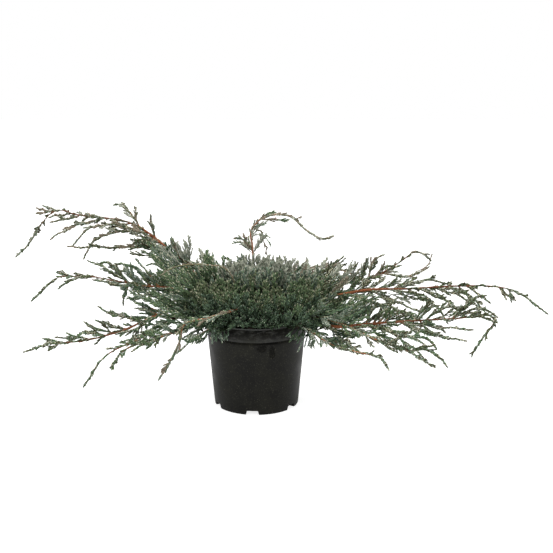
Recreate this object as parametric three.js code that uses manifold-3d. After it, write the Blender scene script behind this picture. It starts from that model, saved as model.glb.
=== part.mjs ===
// A spreading blue juniper in a round black nursery pot.
//
// The shrub has one short trunk inside its crown. Boughs leave the trunk on all sides and end at the
// edge of the crown, where each meets a long arching shoot that is clothed in cord-like sprays.
// Eleven dense cushions of foliage fill the crown between them.
//
// Millimetres, +Z up. The origin is the centre of the pot's flat underside, and the front is -Y.
// Headings are in degrees: 0 points right (+X), 90 to the back (+Y), 180 left and 270 to the front.

import * as THREE from 'three';
import { mergeVertices } from 'three/addons/utils/BufferGeometryUtils.js';
import Module from 'manifold-3d';

const wasm = await Module();
wasm.setup();

// Clearance between neighbouring solids, and the spacing of the stations on a route
const GAP = 0.4;
const POT_ROOM = 1.5;
const FINE_STEP = 6;

// Pot
const POT_HEIGHT = 206;
const RIM_RADIUS = 115;
const BASE_RADIUS = 98;
const WALL = 2.5;
const FLOOR = 3;
const BAND_HEIGHT = 32.5;
const BAND_PROUD = 1.5;
const BASE_CHAMFER = 1.5;
const POT_SIDES = 42;
const NOTCH_COUNT = 6;
const NOTCH_WIDTH = 31;
const NOTCH_TOP_WIDTH = 25;
const NOTCH_HEIGHT = 10;
const NOTCH_DEPTH = 26;
const FIRST_NOTCH = 265.6;

// Soil
const SOIL_TOP = 185;
const SOIL_EDGE_DROP = 4;
const SOIL_FLAT_RADIUS = 30;
const SOIL_FOOT_RADIUS = 58;
const SOIL_SIDES = 21;

// Trunk
const TRUNK_TOP = 264;
const TRUNK_LEAN = [3, 2];
const TRUNK_SIDES = 12;
// The trunk's radius at shares of its height, from the root flare to the top
const TRUNK_PROFILE = [[0, 20], [0.06, 15.5], [0.18, 12.5], [0.4, 11], [0.7, 9.5], [0.92, 8], [1, 6]];

// Boughs, from the trunk to the edge of the crown
const BOUGH_BASE = 3.5;
const BOUGH_END = 2.8;
const BOUGH_SIDES = 5;
const BOUGH_STEP = 26;
const OVER_RIM = { reach: 121, height: POT_HEIGHT + 9 };

// Long shoots beyond the crown, and the side shoots on them
const SHOOT_TIP = 1.3;
const SHOOT_SIDES = 3;
const SHOOT_STEP = 46;
const SIDE_SHOOT_BASE = 2.2;

// Sprays: toothed blades of needles. The outline is in shares of a blade's length and width.
const FIRST_SPRAY = 14;
const FIRST_SIDE_SPRAY = 26;
const LAST_SPRAY = 14;
const SPRAY_STEP = 62;
const SPRAY_LENGTH = 60;
const SPRAY_FIRST = 1.3;
const SPRAY_SHRINK = 0.8;
const SPRAY_WIDTH = 0.42;
const SPRAY_WIDEST = 24;
const SPRAY_THICKNESS = 4;
const SPRAY_SPREAD = 36;
const SPREAD_VARIES = 12;
const TILT_VARIES = 80;
const SIZE_VARIES = 0.4;
const SPRAY_OUTLINE = [
  [1, 0], [0.72, 0.15], [0.62, 0.5], [0.04, 0.16], [0, -0.16], [0.4, -0.5], [0.62, -0.16],
];
const SPRAY_RIDGE = 0.42;
const SPRAY_NECK = 0.1;
const TIP_SPRAY_LENGTH = 22;
const TIP_SUNK = 8;

// Crown cushions: a low dome, wider to the right than to the left
const DOME = { x: 6, y: 4, z: 200, halfX: 180, halfY: 160, height: 88 };
const CORE_FLOOR = POT_HEIGHT + 5;
const CORE_INNER_REACH = 60;
const TOP_CORE_FLOOR = 248;
const CORE_DETAIL = 2;
const CUSHION_STEM = 3;
const CUSHION_RAYS = 32;
const TOP_CUSHION_RAYS = 28;
const CUSHION_SPRAY_LENGTH = 48;
const SPRAY_SUNK = 7;
const SPRAY_LEAN_OUT = 0.7;
const LOWEST_SLOPE = -0.3;
const GOLDEN_ANGLE = 2.39996;
const CHANNEL_ROOM = 0.9;
const CORE_REACH = 105;
const TOP_CORE_REACH = 75;
const CORE_PARTING = 1;

// The leading shoots. Each leaves the trunk at a height, and its places are [reach from the axis,
// height, turn from its heading]. The first place is the edge of the crown.
const LEADERS = [
  { name: 'left_high', heading: 158, leaves: 245,
    places: [[193, 326], [243, 359], [288, 388], [342, 407], [427, 413], [484, 416], [524, 424],
      [552, 416], [590, 381], [630, 330], [663, 301]] },
  { name: 'left_middle', heading: 180, leaves: 236,
    places: [[190, 271], [244, 277], [312, 287], [380, 299], [426, 299], [448, 299], [475, 281],
      [512, 247]] },
  { name: 'left_low', heading: 192, leaves: 226,
    places: [[200, 227], [244, 214], [289, 195], [334, 181], [400, 169], [465, 168], [513, 155]] },
  { name: 'left_fore', heading: 203, leaves: 216,
    places: [[200, 219], [280, 182], [353, 152], [398, 97]] },
  { name: 'left_near', heading: 214, leaves: 206,
    places: [[195, 203], [255, 194], [330, 181], [360, 154]] },
  { name: 'front_left', heading: 252, leaves: 224,
    places: [[150, 256], [190, 243, -14], [222, 232, -24], [229, 190, -27], [245, 142, -31],
      [261, 114, -33]] },
  { name: 'right_near', heading: 312, leaves: 204,
    places: [[185, 206], [240, 192], [316, 191], [380, 193], [396, 182]] },
  { name: 'right_fore', heading: 322, leaves: 214,
    places: [[195, 232], [271, 219], [334, 205], [406, 195], [456, 177]] },
  { name: 'right_low', heading: 340, leaves: 225,
    places: [[190, 198], [243, 207], [310, 219], [381, 230], [466, 243], [522, 255], [537, 245],
      [519, 210], [498, 172]] },
  { name: 'right_middle', heading: 3, leaves: 232,
    places: [[190, 253], [252, 264], [357, 266], [462, 271], [569, 267], [617, 250], [679, 206]] },
  { name: 'right_high', heading: 25, leaves: 240,
    places: [[200, 260], [289, 266], [345, 280], [394, 303], [425, 320], [456, 314], [474, 301]] },
  { name: 'back_right', heading: 48, leaves: 232,
    places: [[190, 264], [300, 268], [430, 215]] },
  { name: 'back_far_right', heading: 70, leaves: 214,
    places: [[185, 240], [320, 250], [470, 190]] },
  { name: 'back_middle', heading: 92, leaves: 228,
    places: [[180, 245], [300, 240], [410, 180]] },
  { name: 'back_far_left', heading: 113, leaves: 214,
    places: [[185, 248], [330, 255], [480, 200]] },
  { name: 'back_left', heading: 136, leaves: 236,
    places: [[185, 272], [290, 284], [380, 235]] },
  { name: 'top', heading: 95, leaves: 253,
    places: [[108, 326], [110, 355, 1], [107, 382, 3], [98, 412, -7], [91, 429, -30], [102, 428, -54],
      [129, 397, -71], [154, 381, -79], [172, 384, -83]] },
];

// The larger side shoots: where each leaves its leading shoot, its turn from it, its first climb,
// how far it bends down by its tip, and its length
const SIDE_SHOOTS = [
  { of: 'left_high', at: 226, turn: 22, climb: 0, sag: 0, length: 228 },
  { of: 'left_high', at: 241, turn: 22, climb: 30, sag: 90, length: 226 },
  { of: 'left_high', at: 276, turn: 22, climb: 6, sag: 78, length: 174 },
  { of: 'left_high', at: 297, turn: -22, climb: 58, sag: 76, length: 112 },
  { of: 'left_high', at: 390, turn: 22, climb: -9, sag: 32, length: 146 },
  { of: 'left_high', at: 420, turn: -24, climb: -8, sag: 30, length: 84 },
  { of: 'left_high', at: 468, turn: 22, climb: -17, sag: -13, length: 70 },
  { of: 'left_high', at: 492, turn: -22, climb: -11, sag: -2, length: 103 },
  { of: 'left_high', at: 539, turn: -22, climb: 10, sag: 0, length: 50 },
  { of: 'left_middle', at: 221, turn: -22, climb: 44, sag: -7, length: 76 },
  { of: 'left_middle', at: 239, turn: 22, climb: 4, sag: -20, length: 128 },
  { of: 'left_middle', at: 245, turn: 22, climb: 62, sag: 78, length: 98 },
  { of: 'left_middle', at: 287, turn: -22, climb: 28, sag: 12, length: 108 },
  { of: 'left_middle', at: 293, turn: 22, climb: 68, sag: 78, length: 78 },
  { of: 'left_middle', at: 369, turn: 22, climb: 5, sag: 52, length: 79 },
  { of: 'left_low', at: 207, turn: -22, climb: 12, sag: -20, length: 80 },
  { of: 'left_low', at: 213, turn: 22, climb: -24, sag: -20, length: 106 },
  { of: 'left_low', at: 253, turn: -22, climb: 7, sag: -18, length: 101 },
  { of: 'left_low', at: 325, turn: -22, climb: 10, sag: -20, length: 66 },
  { of: 'left_low', at: 342, turn: 22, climb: 28, sag: 62, length: 71 },
  { of: 'left_low', at: 372, turn: -22, climb: 3, sag: 10, length: 76 },
  { of: 'left_fore', at: 237, turn: 22, climb: -13, sag: -9, length: 85 },
  { of: 'left_near', at: 234, turn: 22, climb: -4, sag: 0, length: 93 },
  { of: 'right_middle', at: 207, turn: -22, climb: -13, sag: 0, length: 156 },
  { of: 'right_middle', at: 260, turn: -22, climb: -20, sag: -5, length: 123 },
  { of: 'right_middle', at: 314, turn: 22, climb: 12, sag: 46, length: 167 },
  { of: 'right_middle', at: 320, turn: -22, climb: -11, sag: 50, length: 142 },
  { of: 'right_middle', at: 368, turn: -22, climb: -17, sag: 16, length: 99 },
  { of: 'right_middle', at: 392, turn: 22, climb: -14, sag: 21, length: 129 },
  { of: 'right_middle', at: 434, turn: -22, climb: -12, sag: 60, length: 94 },
  { of: 'right_middle', at: 469, turn: 22, climb: -36, sag: 11, length: 100 },
  { of: 'right_high', at: 293, turn: 22, climb: 65, sag: 75, length: 79 },
  { of: 'right_high', at: 328, turn: -22, climb: -14, sag: -62, length: 120 },
  { of: 'right_high', at: 339, turn: 22, climb: 3, sag: -7, length: 65 },
  { of: 'right_low', at: 240, turn: -22, climb: 4, sag: 20, length: 171 },
  { of: 'right_low', at: 275, turn: -22, climb: -14, sag: 20, length: 134 },
  { of: 'right_low', at: 299, turn: 22, climb: 41, sag: 78, length: 66 },
  { of: 'right_low', at: 329, turn: 22, climb: -8, sag: -5, length: 158 },
  { of: 'right_low', at: 334, turn: -22, climb: -16, sag: -19, length: 82 },
  { of: 'right_low', at: 340, turn: -22, climb: -11, sag: -18, length: 149 },
  { of: 'right_low', at: 441, turn: 22, climb: 30, sag: 73, length: 101 },
  { of: 'right_low', at: 447, turn: 22, climb: 54, sag: 43, length: 77 },
  { of: 'right_low', at: 470, turn: -22, climb: 11, sag: 21, length: 66 },
  { of: 'right_fore', at: 316, turn: -22, climb: -4, sag: 8, length: 68 },
  { of: 'right_fore', at: 345, turn: -22, climb: 7, sag: 20, length: 108 },
  { of: 'right_fore', at: 351, turn: 16, climb: 30, sag: 78, length: 105 },
  { of: 'right_fore', at: 399, turn: 22, climb: 9, sag: 78, length: 87 },
  { of: 'right_near', at: 214, turn: 22, climb: -7, sag: -20, length: 69 },
  { of: 'back_right', at: 250, turn: 24, climb: 4, sag: 26, length: 130 },
  { of: 'back_far_right', at: 280, turn: -24, climb: 6, sag: 30, length: 140 },
  { of: 'back_far_right', at: 340, turn: 22, climb: -8, sag: 20, length: 90 },
  { of: 'back_middle', at: 250, turn: 26, climb: 2, sag: 24, length: 120 },
  { of: 'back_far_left', at: 280, turn: 22, climb: 4, sag: 26, length: 140 },
  { of: 'back_far_left', at: 350, turn: -24, climb: -6, sag: 20, length: 96 },
  { of: 'back_left', at: 240, turn: 22, climb: 6, sag: 22, length: 110 },
  { of: 'top', at: 109.5, turn: 40, climb: 62, sag: 90, length: 60 },
];

// The crown's cushions: the heading and reach of each one's middle, its height there, and the
// height at which its stem leaves the trunk
const CUSHIONS = [
  { name: 'right', heading: 14, reach: 124, middle: 234, leaves: 206 },
  { name: 'back_right', heading: 59, reach: 112, middle: 234, leaves: 204 },
  { name: 'back', heading: 102, reach: 110, middle: 234, leaves: 203 },
  { name: 'back_left', heading: 147, reach: 112, middle: 236, leaves: 206 },
  { name: 'left', heading: 198, reach: 116, middle: 238, leaves: 255 },
  { name: 'front_left', heading: 233, reach: 112, middle: 234, leaves: 214 },
  { name: 'front', heading: 278, reach: 110, middle: 234, leaves: 210 },
  { name: 'front_right', heading: 331, reach: 116, middle: 234, leaves: 196 },
  { name: 'top_right', heading: 30, reach: 48, middle: 268, leaves: 258 },
  { name: 'top_left', heading: 150, reach: 48, middle: 268, leaves: 258 },
  { name: 'top_front', heading: 270, reach: 48, middle: 266, leaves: 258 },
];

// Colours
const finish = (color, roughness) => new THREE.MeshStandardMaterial({ color, roughness, metalness: 0 });
const BLACK_PLASTIC = finish(0x242422, 0.55);
const POTTING_SOIL = finish(0x2b221b, 0.95);
const OLD_BARK = finish(0x5a4334, 0.9);
const RED_BARK = finish(0x77563f, 0.8);
const BLUE_NEEDLES = finish(0x6c7a68, 0.85);
const GREEN_NEEDLES = finish(0x4a5740, 0.85);

// Small vector helpers
const vec = (x, y, z) => new THREE.Vector3(x, y, z);
const radians = THREE.MathUtils.degToRad;
const UP = vec(0, 0, 1);

function reachOf(point) {
  return Math.hypot(point.x, point.y);
}

function polar(heading, reach, height) {
  return vec(reach * Math.cos(radians(heading)), reach * Math.sin(radians(heading)), height);
}

// A repeatable stream of numbers from 0 to 1
function dice(seed) {
  let state = seed;
  return () => {
    state = (state * 16807) % 2147483647;
    return state / 2147483647;
  };
}

// A factor that varies about 1
function varied(roll) {
  return 1 + SIZE_VARIES * (roll() - 0.5);
}

// Solids
function toSolid(geometry) {
  const bare = geometry.clone();
  bare.deleteAttribute('normal');
  bare.deleteAttribute('uv');
  const merged = mergeVertices(bare, 1e-4);
  return new wasm.Manifold(new wasm.Mesh({
    numProp: 3,
    vertProperties: new Float32Array(merged.attributes.position.array),
    triVerts: new Uint32Array(merged.index.array),
  }));
}

function toGeometry(solid) {
  const mesh = solid.getMesh();
  const geometry = new THREE.BufferGeometry();
  geometry.setAttribute('position', new THREE.BufferAttribute(mesh.vertProperties, 3));
  geometry.setIndex(new THREE.BufferAttribute(mesh.triVerts, 1));
  geometry.computeVertexNormals();
  return geometry;
}

// The largest shell of a joined solid: sealed hollows are filled and loose scraps are dropped
function mainBody(solid) {
  const shells = solid.decompose();
  return shells.reduce((best, shell) => (shell.volume() > best.volume() ? shell : best));
}

const SLIVER = 0.05;

function fuse(solids) {
  return mainBody(wasm.Manifold.union(solids)).simplify(SLIVER);
}

// A route: its points, each with the direction in which the route runs there
function routeOf(points) {
  const last = points.length - 1;
  return points.map((point, i) => ({
    point,
    along: points[Math.min(i + 1, last)].clone().sub(points[Math.max(i - 1, 0)]).normalize(),
  }));
}

// A closed tapering limb: a cylinder whose rings are carried along a route
function limb(route, radiusAt, sides) {
  const steps = route.length - 1;
  const geometry = new THREE.CylinderGeometry(1, 1, 1, sides, steps);
  const position = geometry.attributes.position;
  let across = Math.abs(route[0].along.z) > 0.9 ? vec(1, 0, 0) : UP;
  const frames = route.map(({ point, along }) => {
    across = across.clone().addScaledVector(along, -across.dot(along)).normalize();
    return { point, across, beside: along.clone().cross(across) };
  });
  for (let i = 0; i < position.count; i += 1) {
    const share = 0.5 - position.getY(i);
    const frame = frames[Math.round(share * steps)];
    const radius = radiusAt(share);
    const place = frame.point.clone()
      .addScaledVector(frame.across, position.getX(i) * radius)
      .addScaledVector(frame.beside, position.getZ(i) * radius);
    position.setXYZ(i, place.x, place.y, place.z);
  }
  return geometry;
}

function taper(base, tip) {
  return (share) => base + (tip - base) * share;
}

// A spray: a flat double pyramid whose rim is a toothed outline
function sprayBlade({ root, along, flat, length, width, thickness }) {
  const count = SPRAY_OUTLINE.length;
  const geometry = new THREE.SphereGeometry(1, count, 2);
  const position = geometry.attributes.position;
  const beside = along.clone().cross(flat).normalize();
  const face = beside.clone().cross(along).normalize();
  for (let i = 0; i < position.count; i += 1) {
    const pole = position.getY(i);
    const place = root.clone();
    if (Math.abs(pole) > 0.5) {
      place.addScaledVector(along, SPRAY_RIDGE * length);
      place.addScaledVector(face, Math.sign(pole) * thickness / 2);
    } else {
      const angle = Math.atan2(position.getZ(i), position.getX(i));
      const corner = (Math.round((angle / (2 * Math.PI)) * count) + count) % count;
      const [forward, sideways] = SPRAY_OUTLINE[corner];
      place.addScaledVector(along, forward * length);
      place.addScaledVector(beside, sideways * width);
    }
    position.setXYZ(i, place.x, place.y, place.z);
  }
  return geometry;
}

// Clearance: every placed limb and spray is kept as a row of capsules
const placed = [];

function claim(node, a, b, radius) {
  placed.push({ node, a, b, radius });
}

function claimRoute(node, route, radius) {
  for (let i = 1; i < route.length; i += 1) {
    claim(node, route[i - 1].point, route[i].point, radius);
  }
}

function segmentDistance(a, b, c, d) {
  const ab = b.clone().sub(a);
  const cd = d.clone().sub(c);
  const ca = a.clone().sub(c);
  const abab = ab.dot(ab);
  const cdcd = cd.dot(cd);
  const abcd = ab.dot(cd);
  const abca = ab.dot(ca);
  const cdca = cd.dot(ca);
  const clamp = (value) => THREE.MathUtils.clamp(value, 0, 1);
  const spread = abab * cdcd - abcd * abcd;
  let s = spread > 1e-9 ? clamp((abcd * cdca - abca * cdcd) / spread) : 0;
  const t = clamp((abcd * s + cdca) / cdcd);
  s = clamp((abcd * t - abca) / abab);
  const near = a.clone().addScaledVector(ab, s);
  return near.distanceTo(c.clone().addScaledVector(cd, t));
}

function touchesPot(place, radius) {
  const room = radius + POT_ROOM;
  return reachOf(place) < RIM_RADIUS + room && place.z < POT_HEIGHT + room;
}

function isClear(node, a, b, radius) {
  const checks = [0, 0.25, 0.5, 0.75, 1].map((share) => a.clone().lerp(b, share));
  const isFree = ({ node: owner, a: c, b: d, radius: taken }) => owner === node
    || segmentDistance(a, b, c, d) > radius + taken + GAP;
  return !checks.some((place) => touchesPot(place, radius)) && placed.every(isFree);
}

// Pot: a turned wall and floor, with a band under the rim and notches round the foot
function makePot() {
  const bandFoot = POT_HEIGHT - BAND_HEIGHT;
  const underBand = RIM_RADIUS - BAND_PROUD;
  const outline = [
    [0, 0], [BASE_RADIUS - BASE_CHAMFER, 0], [BASE_RADIUS, BASE_CHAMFER],
    [underBand, bandFoot], [RIM_RADIUS - 0.4, bandFoot + 1], [RIM_RADIUS, POT_HEIGHT - 1],
    [RIM_RADIUS - 0.8, POT_HEIGHT], [RIM_RADIUS - WALL, POT_HEIGHT],
    [underBand - WALL, bandFoot], [BASE_RADIUS - WALL, FLOOR], [0, FLOOR],
  ].map(([x, y]) => new THREE.Vector2(x, y));
  const turned = new THREE.LatheGeometry(outline, POT_SIDES).rotateX(Math.PI / 2);
  let pot = toSolid(turned);
  const notch = new THREE.Shape([
    new THREE.Vector2(-NOTCH_WIDTH / 2 - 1, -2),
    new THREE.Vector2(NOTCH_WIDTH / 2 + 1, -2),
    new THREE.Vector2(NOTCH_TOP_WIDTH / 2, NOTCH_HEIGHT),
    new THREE.Vector2(-NOTCH_TOP_WIDTH / 2, NOTCH_HEIGHT),
  ]);
  for (let i = 0; i < NOTCH_COUNT; i += 1) {
    const block = new THREE.ExtrudeGeometry(notch, { depth: NOTCH_DEPTH + 10, bevelEnabled: false });
    block.rotateX(Math.PI / 2);
    block.translate(0, BASE_RADIUS + 10, 0);
    block.rotateZ(radians(FIRST_NOTCH - 90 + (i * 360) / NOTCH_COUNT));
    pot = pot.subtract(toSolid(block));
  }
  return toGeometry(pot);
}

// Soil: it stands on the pot's floor inside the notches and stops short of the wall
function makeSoil() {
  const bandFoot = POT_HEIGHT - BAND_HEIGHT;
  const lowWall = BASE_RADIUS - WALL - 2 * GAP;
  const highWall = RIM_RADIUS - BAND_PROUD - WALL - 2 * GAP;
  const notchTop = NOTCH_HEIGHT + 2.5;
  const outline = [
    [0, FLOOR + GAP], [SOIL_FOOT_RADIUS, FLOOR + GAP], [SOIL_FOOT_RADIUS + 8, notchTop],
    [lowWall, notchTop], [highWall, bandFoot], [highWall, SOIL_TOP - SOIL_EDGE_DROP],
    [SOIL_FLAT_RADIUS, SOIL_TOP], [0, SOIL_TOP],
  ].map(([x, y]) => new THREE.Vector2(x, y));
  return toGeometry(toSolid(new THREE.LatheGeometry(outline, SOIL_SIDES).rotateX(Math.PI / 2)));
}

// Trunk: a leaning, tapering stem with a root flare, cut flat at the soil
function trunkCentre(height) {
  const share = THREE.MathUtils.clamp((height - SOIL_TOP) / (TRUNK_TOP - SOIL_TOP), 0, 1);
  return vec(TRUNK_LEAN[0] * share * share, TRUNK_LEAN[1] * share * share, height);
}

function trunkRadius(height) {
  const share = THREE.MathUtils.clamp((height - SOIL_TOP) / (TRUNK_TOP - SOIL_TOP), 0, 1);
  const next = Math.max(1, TRUNK_PROFILE.findIndex(([at]) => at >= share));
  const [lowAt, low] = TRUNK_PROFILE[next - 1];
  const [highAt, high] = TRUNK_PROFILE[next];
  return low + (high - low) * ((share - lowAt) / (highAt - lowAt));
}

function trunkShape(room = 0) {
  const rings = TRUNK_PROFILE.length - 1;
  const geometry = new THREE.CylinderGeometry(1, 1, 1, TRUNK_SIDES, rings).rotateX(Math.PI / 2);
  const position = geometry.attributes.position;
  for (let i = 0; i < position.count; i += 1) {
    const [share, radius] = TRUNK_PROFILE[Math.round((position.getZ(i) + 0.5) * rings)];
    const centre = trunkCentre(SOIL_TOP + GAP + share * (TRUNK_TOP - SOIL_TOP - GAP));
    const x = centre.x + position.getX(i) * (radius + room);
    const y = centre.y + position.getY(i) * (radius + room);
    position.setXYZ(i, x, y, centre.z + (share === 1 ? room : 0));
  }
  return geometry;
}

// Where a limb that leaves the trunk at a height and heading starts, clear of the bark below it
function limbStart(heading, height, radius) {
  return trunkCentre(height).add(polar(heading, trunkRadius(height - radius) + GAP, 0));
}

// A limb's first end stands upright, facing the bark
function squareToTrunk(route, heading) {
  return [{ point: route[0].point, along: polar(heading, 1, 0) }, ...route.slice(1)];
}

// The whole route of a leading shoot, from the trunk to its tip
function leaderRoute(leader) {
  const [edgeReach, edgeHeight] = leader.places[0];
  const start = limbStart(leader.heading, leader.leaves, BOUGH_BASE);
  const stations = [start];
  const rimShare = OVER_RIM.reach / edgeReach;
  if (rimShare < 0.9) {
    const straight = leader.leaves + (edgeHeight - leader.leaves) * rimShare;
    stations.push(polar(leader.heading, OVER_RIM.reach, Math.max(OVER_RIM.height, straight)));
  }
  leader.places.forEach(([reach, height, turn = 0]) => {
    stations.push(polar(leader.heading + turn, reach, height));
  });
  const curve = new THREE.CatmullRomCurve3(stations, false, 'centripetal');
  const route = routeOf(curve.getSpacedPoints(Math.round(curve.getLength() / FINE_STEP)));
  return squareToTrunk(route, leader.heading);
}

// Every so many stations of a fine route, with its two ends kept
function thin(route, step) {
  const last = route.length - 1;
  const count = Math.max(1, Math.round((last * FINE_STEP) / step));
  return Array.from({ length: count + 1 }, (_, i) => route[Math.round((i * last) / count)]);
}

function sideShootRoute(parent, shoot) {
  const { point, along } = parent.find((station) => reachOf(station.point) >= shoot.at);
  const heading = THREE.MathUtils.radToDeg(Math.atan2(along.y, along.x)) + shoot.turn;
  const count = Math.round(shoot.length / FINE_STEP);
  const points = [point];
  for (let i = 0; i < count; i += 1) {
    const climb = radians(shoot.climb - shoot.sag * ((i + 0.5) / count) ** 2);
    const step = polar(heading, Math.cos(climb), Math.sin(climb));
    points.push(points[i].clone().addScaledVector(step, shoot.length / count));
  }
  return routeOf(points);
}

// Where sprays leave a shoot: in turn to one side and the other, shorter towards the tip
function sprayPlaces(route, roll, first) {
  const last = route.length - 1;
  const length = last * FINE_STEP;
  const places = [];
  let side = roll() < 0.5 ? -1 : 1;
  for (let at = first; at < length - LAST_SPRAY; at += SPRAY_STEP * varied(roll)) {
    const { point, along } = route[Math.min(last, Math.round(at / FINE_STEP))];
    const beside = along.clone().cross(UP).normalize();
    const above = beside.clone().cross(along);
    const spread = radians(SPRAY_SPREAD + SPREAD_VARIES * (roll() - 0.5));
    const tilt = radians(TILT_VARIES * (roll() - 0.4));
    const outward = beside.clone().multiplyScalar(side * Math.cos(tilt)).addScaledVector(above, Math.sin(tilt));
    const direction = along.clone().multiplyScalar(Math.cos(spread)).addScaledVector(outward, Math.sin(spread));
    const flat = above.clone().multiplyScalar(Math.cos(tilt)).addScaledVector(beside, -side * Math.sin(tilt));
    const size = SPRAY_LENGTH * (SPRAY_FIRST - SPRAY_SHRINK * (at / length)) * varied(roll);
    places.push({ root: point, along: direction, flat, length: size });
    side = -side;
  }
  const tip = route[last];
  const tipFlat = tip.along.clone().cross(UP).cross(tip.along).normalize();
  const tipRoot = tip.point.clone().addScaledVector(tip.along, -TIP_SUNK);
  places.push({ root: tipRoot, along: tip.along, flat: tipFlat, length: TIP_SPRAY_LENGTH });
  return places;
}

function addSpray(node, items, place) {
  const width = Math.min(SPRAY_WIDEST, place.length * SPRAY_WIDTH);
  const tip = place.root.clone().addScaledVector(place.along, place.length);
  const near = place.root.clone().addScaledVector(place.along, place.length * SPRAY_NECK);
  if (isClear(node, near, tip, width / 2)) {
    claim(node, near, tip, width / 2);
    const thickness = Math.min(SPRAY_THICKNESS, width / 3);
    items.push(toSolid(sprayBlade({ ...place, width, thickness })));
  }
}

// Boughs and long shoots: limbs first, so that every spray keeps clear of them
const leaders = LEADERS.map((leader) => {
  const route = leaderRoute(leader);
  const split = route.findIndex(({ point }) => reachOf(point) >= leader.places[0][0]);
  const bough = route.slice(0, split + 1);
  const shoot = route.slice(split);
  const { point, along } = shoot[0];
  shoot[0] = { point: point.clone().addScaledVector(along, GAP), along };
  return { ...leader, bough, shoot, sides: [] };
});

leaders.forEach((leader) => {
  claimRoute(`bough_${leader.name}`, leader.bough, BOUGH_BASE);
  claimRoute(`shoot_${leader.name}`, leader.shoot, BOUGH_END);
});

SIDE_SHOOTS.forEach((shoot) => {
  const leader = leaders.find(({ name }) => name === shoot.of);
  const route = sideShootRoute(leader.shoot, shoot);
  leader.sides.push(route);
  claimRoute(`shoot_${leader.name}`, route, SIDE_SHOOT_BASE);
});

function makeBough(leader) {
  return limb(thin(leader.bough, BOUGH_STEP), taper(BOUGH_BASE, BOUGH_END), BOUGH_SIDES);
}

function makeShoot(leader, seed) {
  const node = `shoot_${leader.name}`;
  const roll = dice(seed);
  const items = [toSolid(limb(thin(leader.shoot, SHOOT_STEP), taper(BOUGH_END, SHOOT_TIP), SHOOT_SIDES))];
  sprayPlaces(leader.shoot, roll, FIRST_SPRAY).forEach((place) => addSpray(node, items, place));
  leader.sides.forEach((route) => {
    items.push(toSolid(limb(thin(route, SHOOT_STEP), taper(SIDE_SHOOT_BASE, SHOOT_TIP), SHOOT_SIDES)));
    sprayPlaces(route, roll, FIRST_SIDE_SPRAY).forEach((place) => addSpray(node, items, place));
  });
  return toGeometry(fuse(items));
}

// Cushions: each keeps to the part of the crown that lies nearer its own middle than any other's
const cushions = CUSHIONS.map((cushion) => {
  const middle = polar(cushion.heading, cushion.reach, cushion.middle);
  const start = limbStart(cushion.heading, cushion.leaves, CUSHION_STEM);
  const stem = squareToTrunk(routeOf(new THREE.LineCurve3(start, middle).getSpacedPoints(3)), cushion.heading);
  return { ...cushion, centre: middle, stem, isTop: cushion.reach < CORE_INNER_REACH };
});

cushions.forEach((cushion) => {
  claimRoute(`cushion_${cushion.name}`, cushion.stem, CUSHION_STEM);
});

// How far a ray from a cushion's middle runs inside the cushion's own core
function coreDepth(cushion, direction) {
  const { centre } = cushion;
  const offset = vec((centre.x - DOME.x) / DOME.halfX, (centre.y - DOME.y) / DOME.halfY,
    (centre.z - DOME.z) / DOME.height);
  const slope = vec(direction.x / DOME.halfX, direction.y / DOME.halfY, direction.z / DOME.height);
  const a = slope.dot(slope);
  const b = offset.dot(slope);
  const c = offset.dot(offset) - 1;
  let depth = (-b + Math.sqrt(b * b - a * c)) / a;
  let open = true;
  const stopAt = (distance, isOpen) => {
    if (distance < depth) {
      depth = distance;
      open = isOpen;
    }
  };
  const floor = cushion.isTop ? TOP_CORE_FLOOR : CORE_FLOOR;
  if (direction.z < -1e-6) {
    stopAt((floor - centre.z) / direction.z, !cushion.isTop);
  }
  if (!cushion.isTop) {
    const outward = polar(cushion.heading, 1, 0);
    const inward = -direction.dot(outward);
    if (inward > 1e-6) {
      stopAt((cushion.reach - CORE_INNER_REACH) / inward, false);
    }
  }
  cushions.forEach((other) => {
    if (other.name !== cushion.name) {
      const between = other.centre.clone().sub(centre);
      const half = between.length() / 2 - CORE_PARTING;
      const closing = direction.dot(between.normalize());
      if (closing > 1e-6) {
        stopAt(half / closing, false);
      }
    }
  });
  return { depth, open };
}

function makeCore(cushion) {
  const geometry = new THREE.IcosahedronGeometry(1, CORE_DETAIL);
  const position = geometry.attributes.position;
  for (let i = 0; i < position.count; i += 1) {
    const direction = vec(position.getX(i), position.getY(i), position.getZ(i)).normalize();
    const { depth } = coreDepth(cushion, direction);
    const place = cushion.centre.clone().addScaledVector(direction, depth);
    position.setXYZ(i, place.x, place.y, place.z);
  }
  return toSolid(geometry);
}

// The limbs that run through a core each get a channel of their own shape, a little wider
function channels(cushion) {
  const reach = cushion.isTop ? TOP_CORE_REACH : CORE_REACH;
  const boughs = leaders.map(({ bough }) => ({
    route: thin(bough, BOUGH_STEP), base: BOUGH_BASE, end: BOUGH_END,
  }));
  const stems = cushions
    .filter(({ name }) => name !== cushion.name)
    .map(({ stem }) => ({ route: stem, base: CUSHION_STEM, end: CUSHION_STEM }));
  const passages = [...boughs, ...stems]
    .filter(({ route }) => route.some(({ point }) => point.distanceTo(cushion.centre) < reach))
    .map(({ route, base, end }) => toSolid(
      limb(route, taper(base + CHANNEL_ROOM, end + CHANNEL_ROOM), BOUGH_SIDES),
    ));
  return cushion.isTop ? [...passages, toSolid(trunkShape(CHANNEL_ROOM))] : passages;
}

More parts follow.
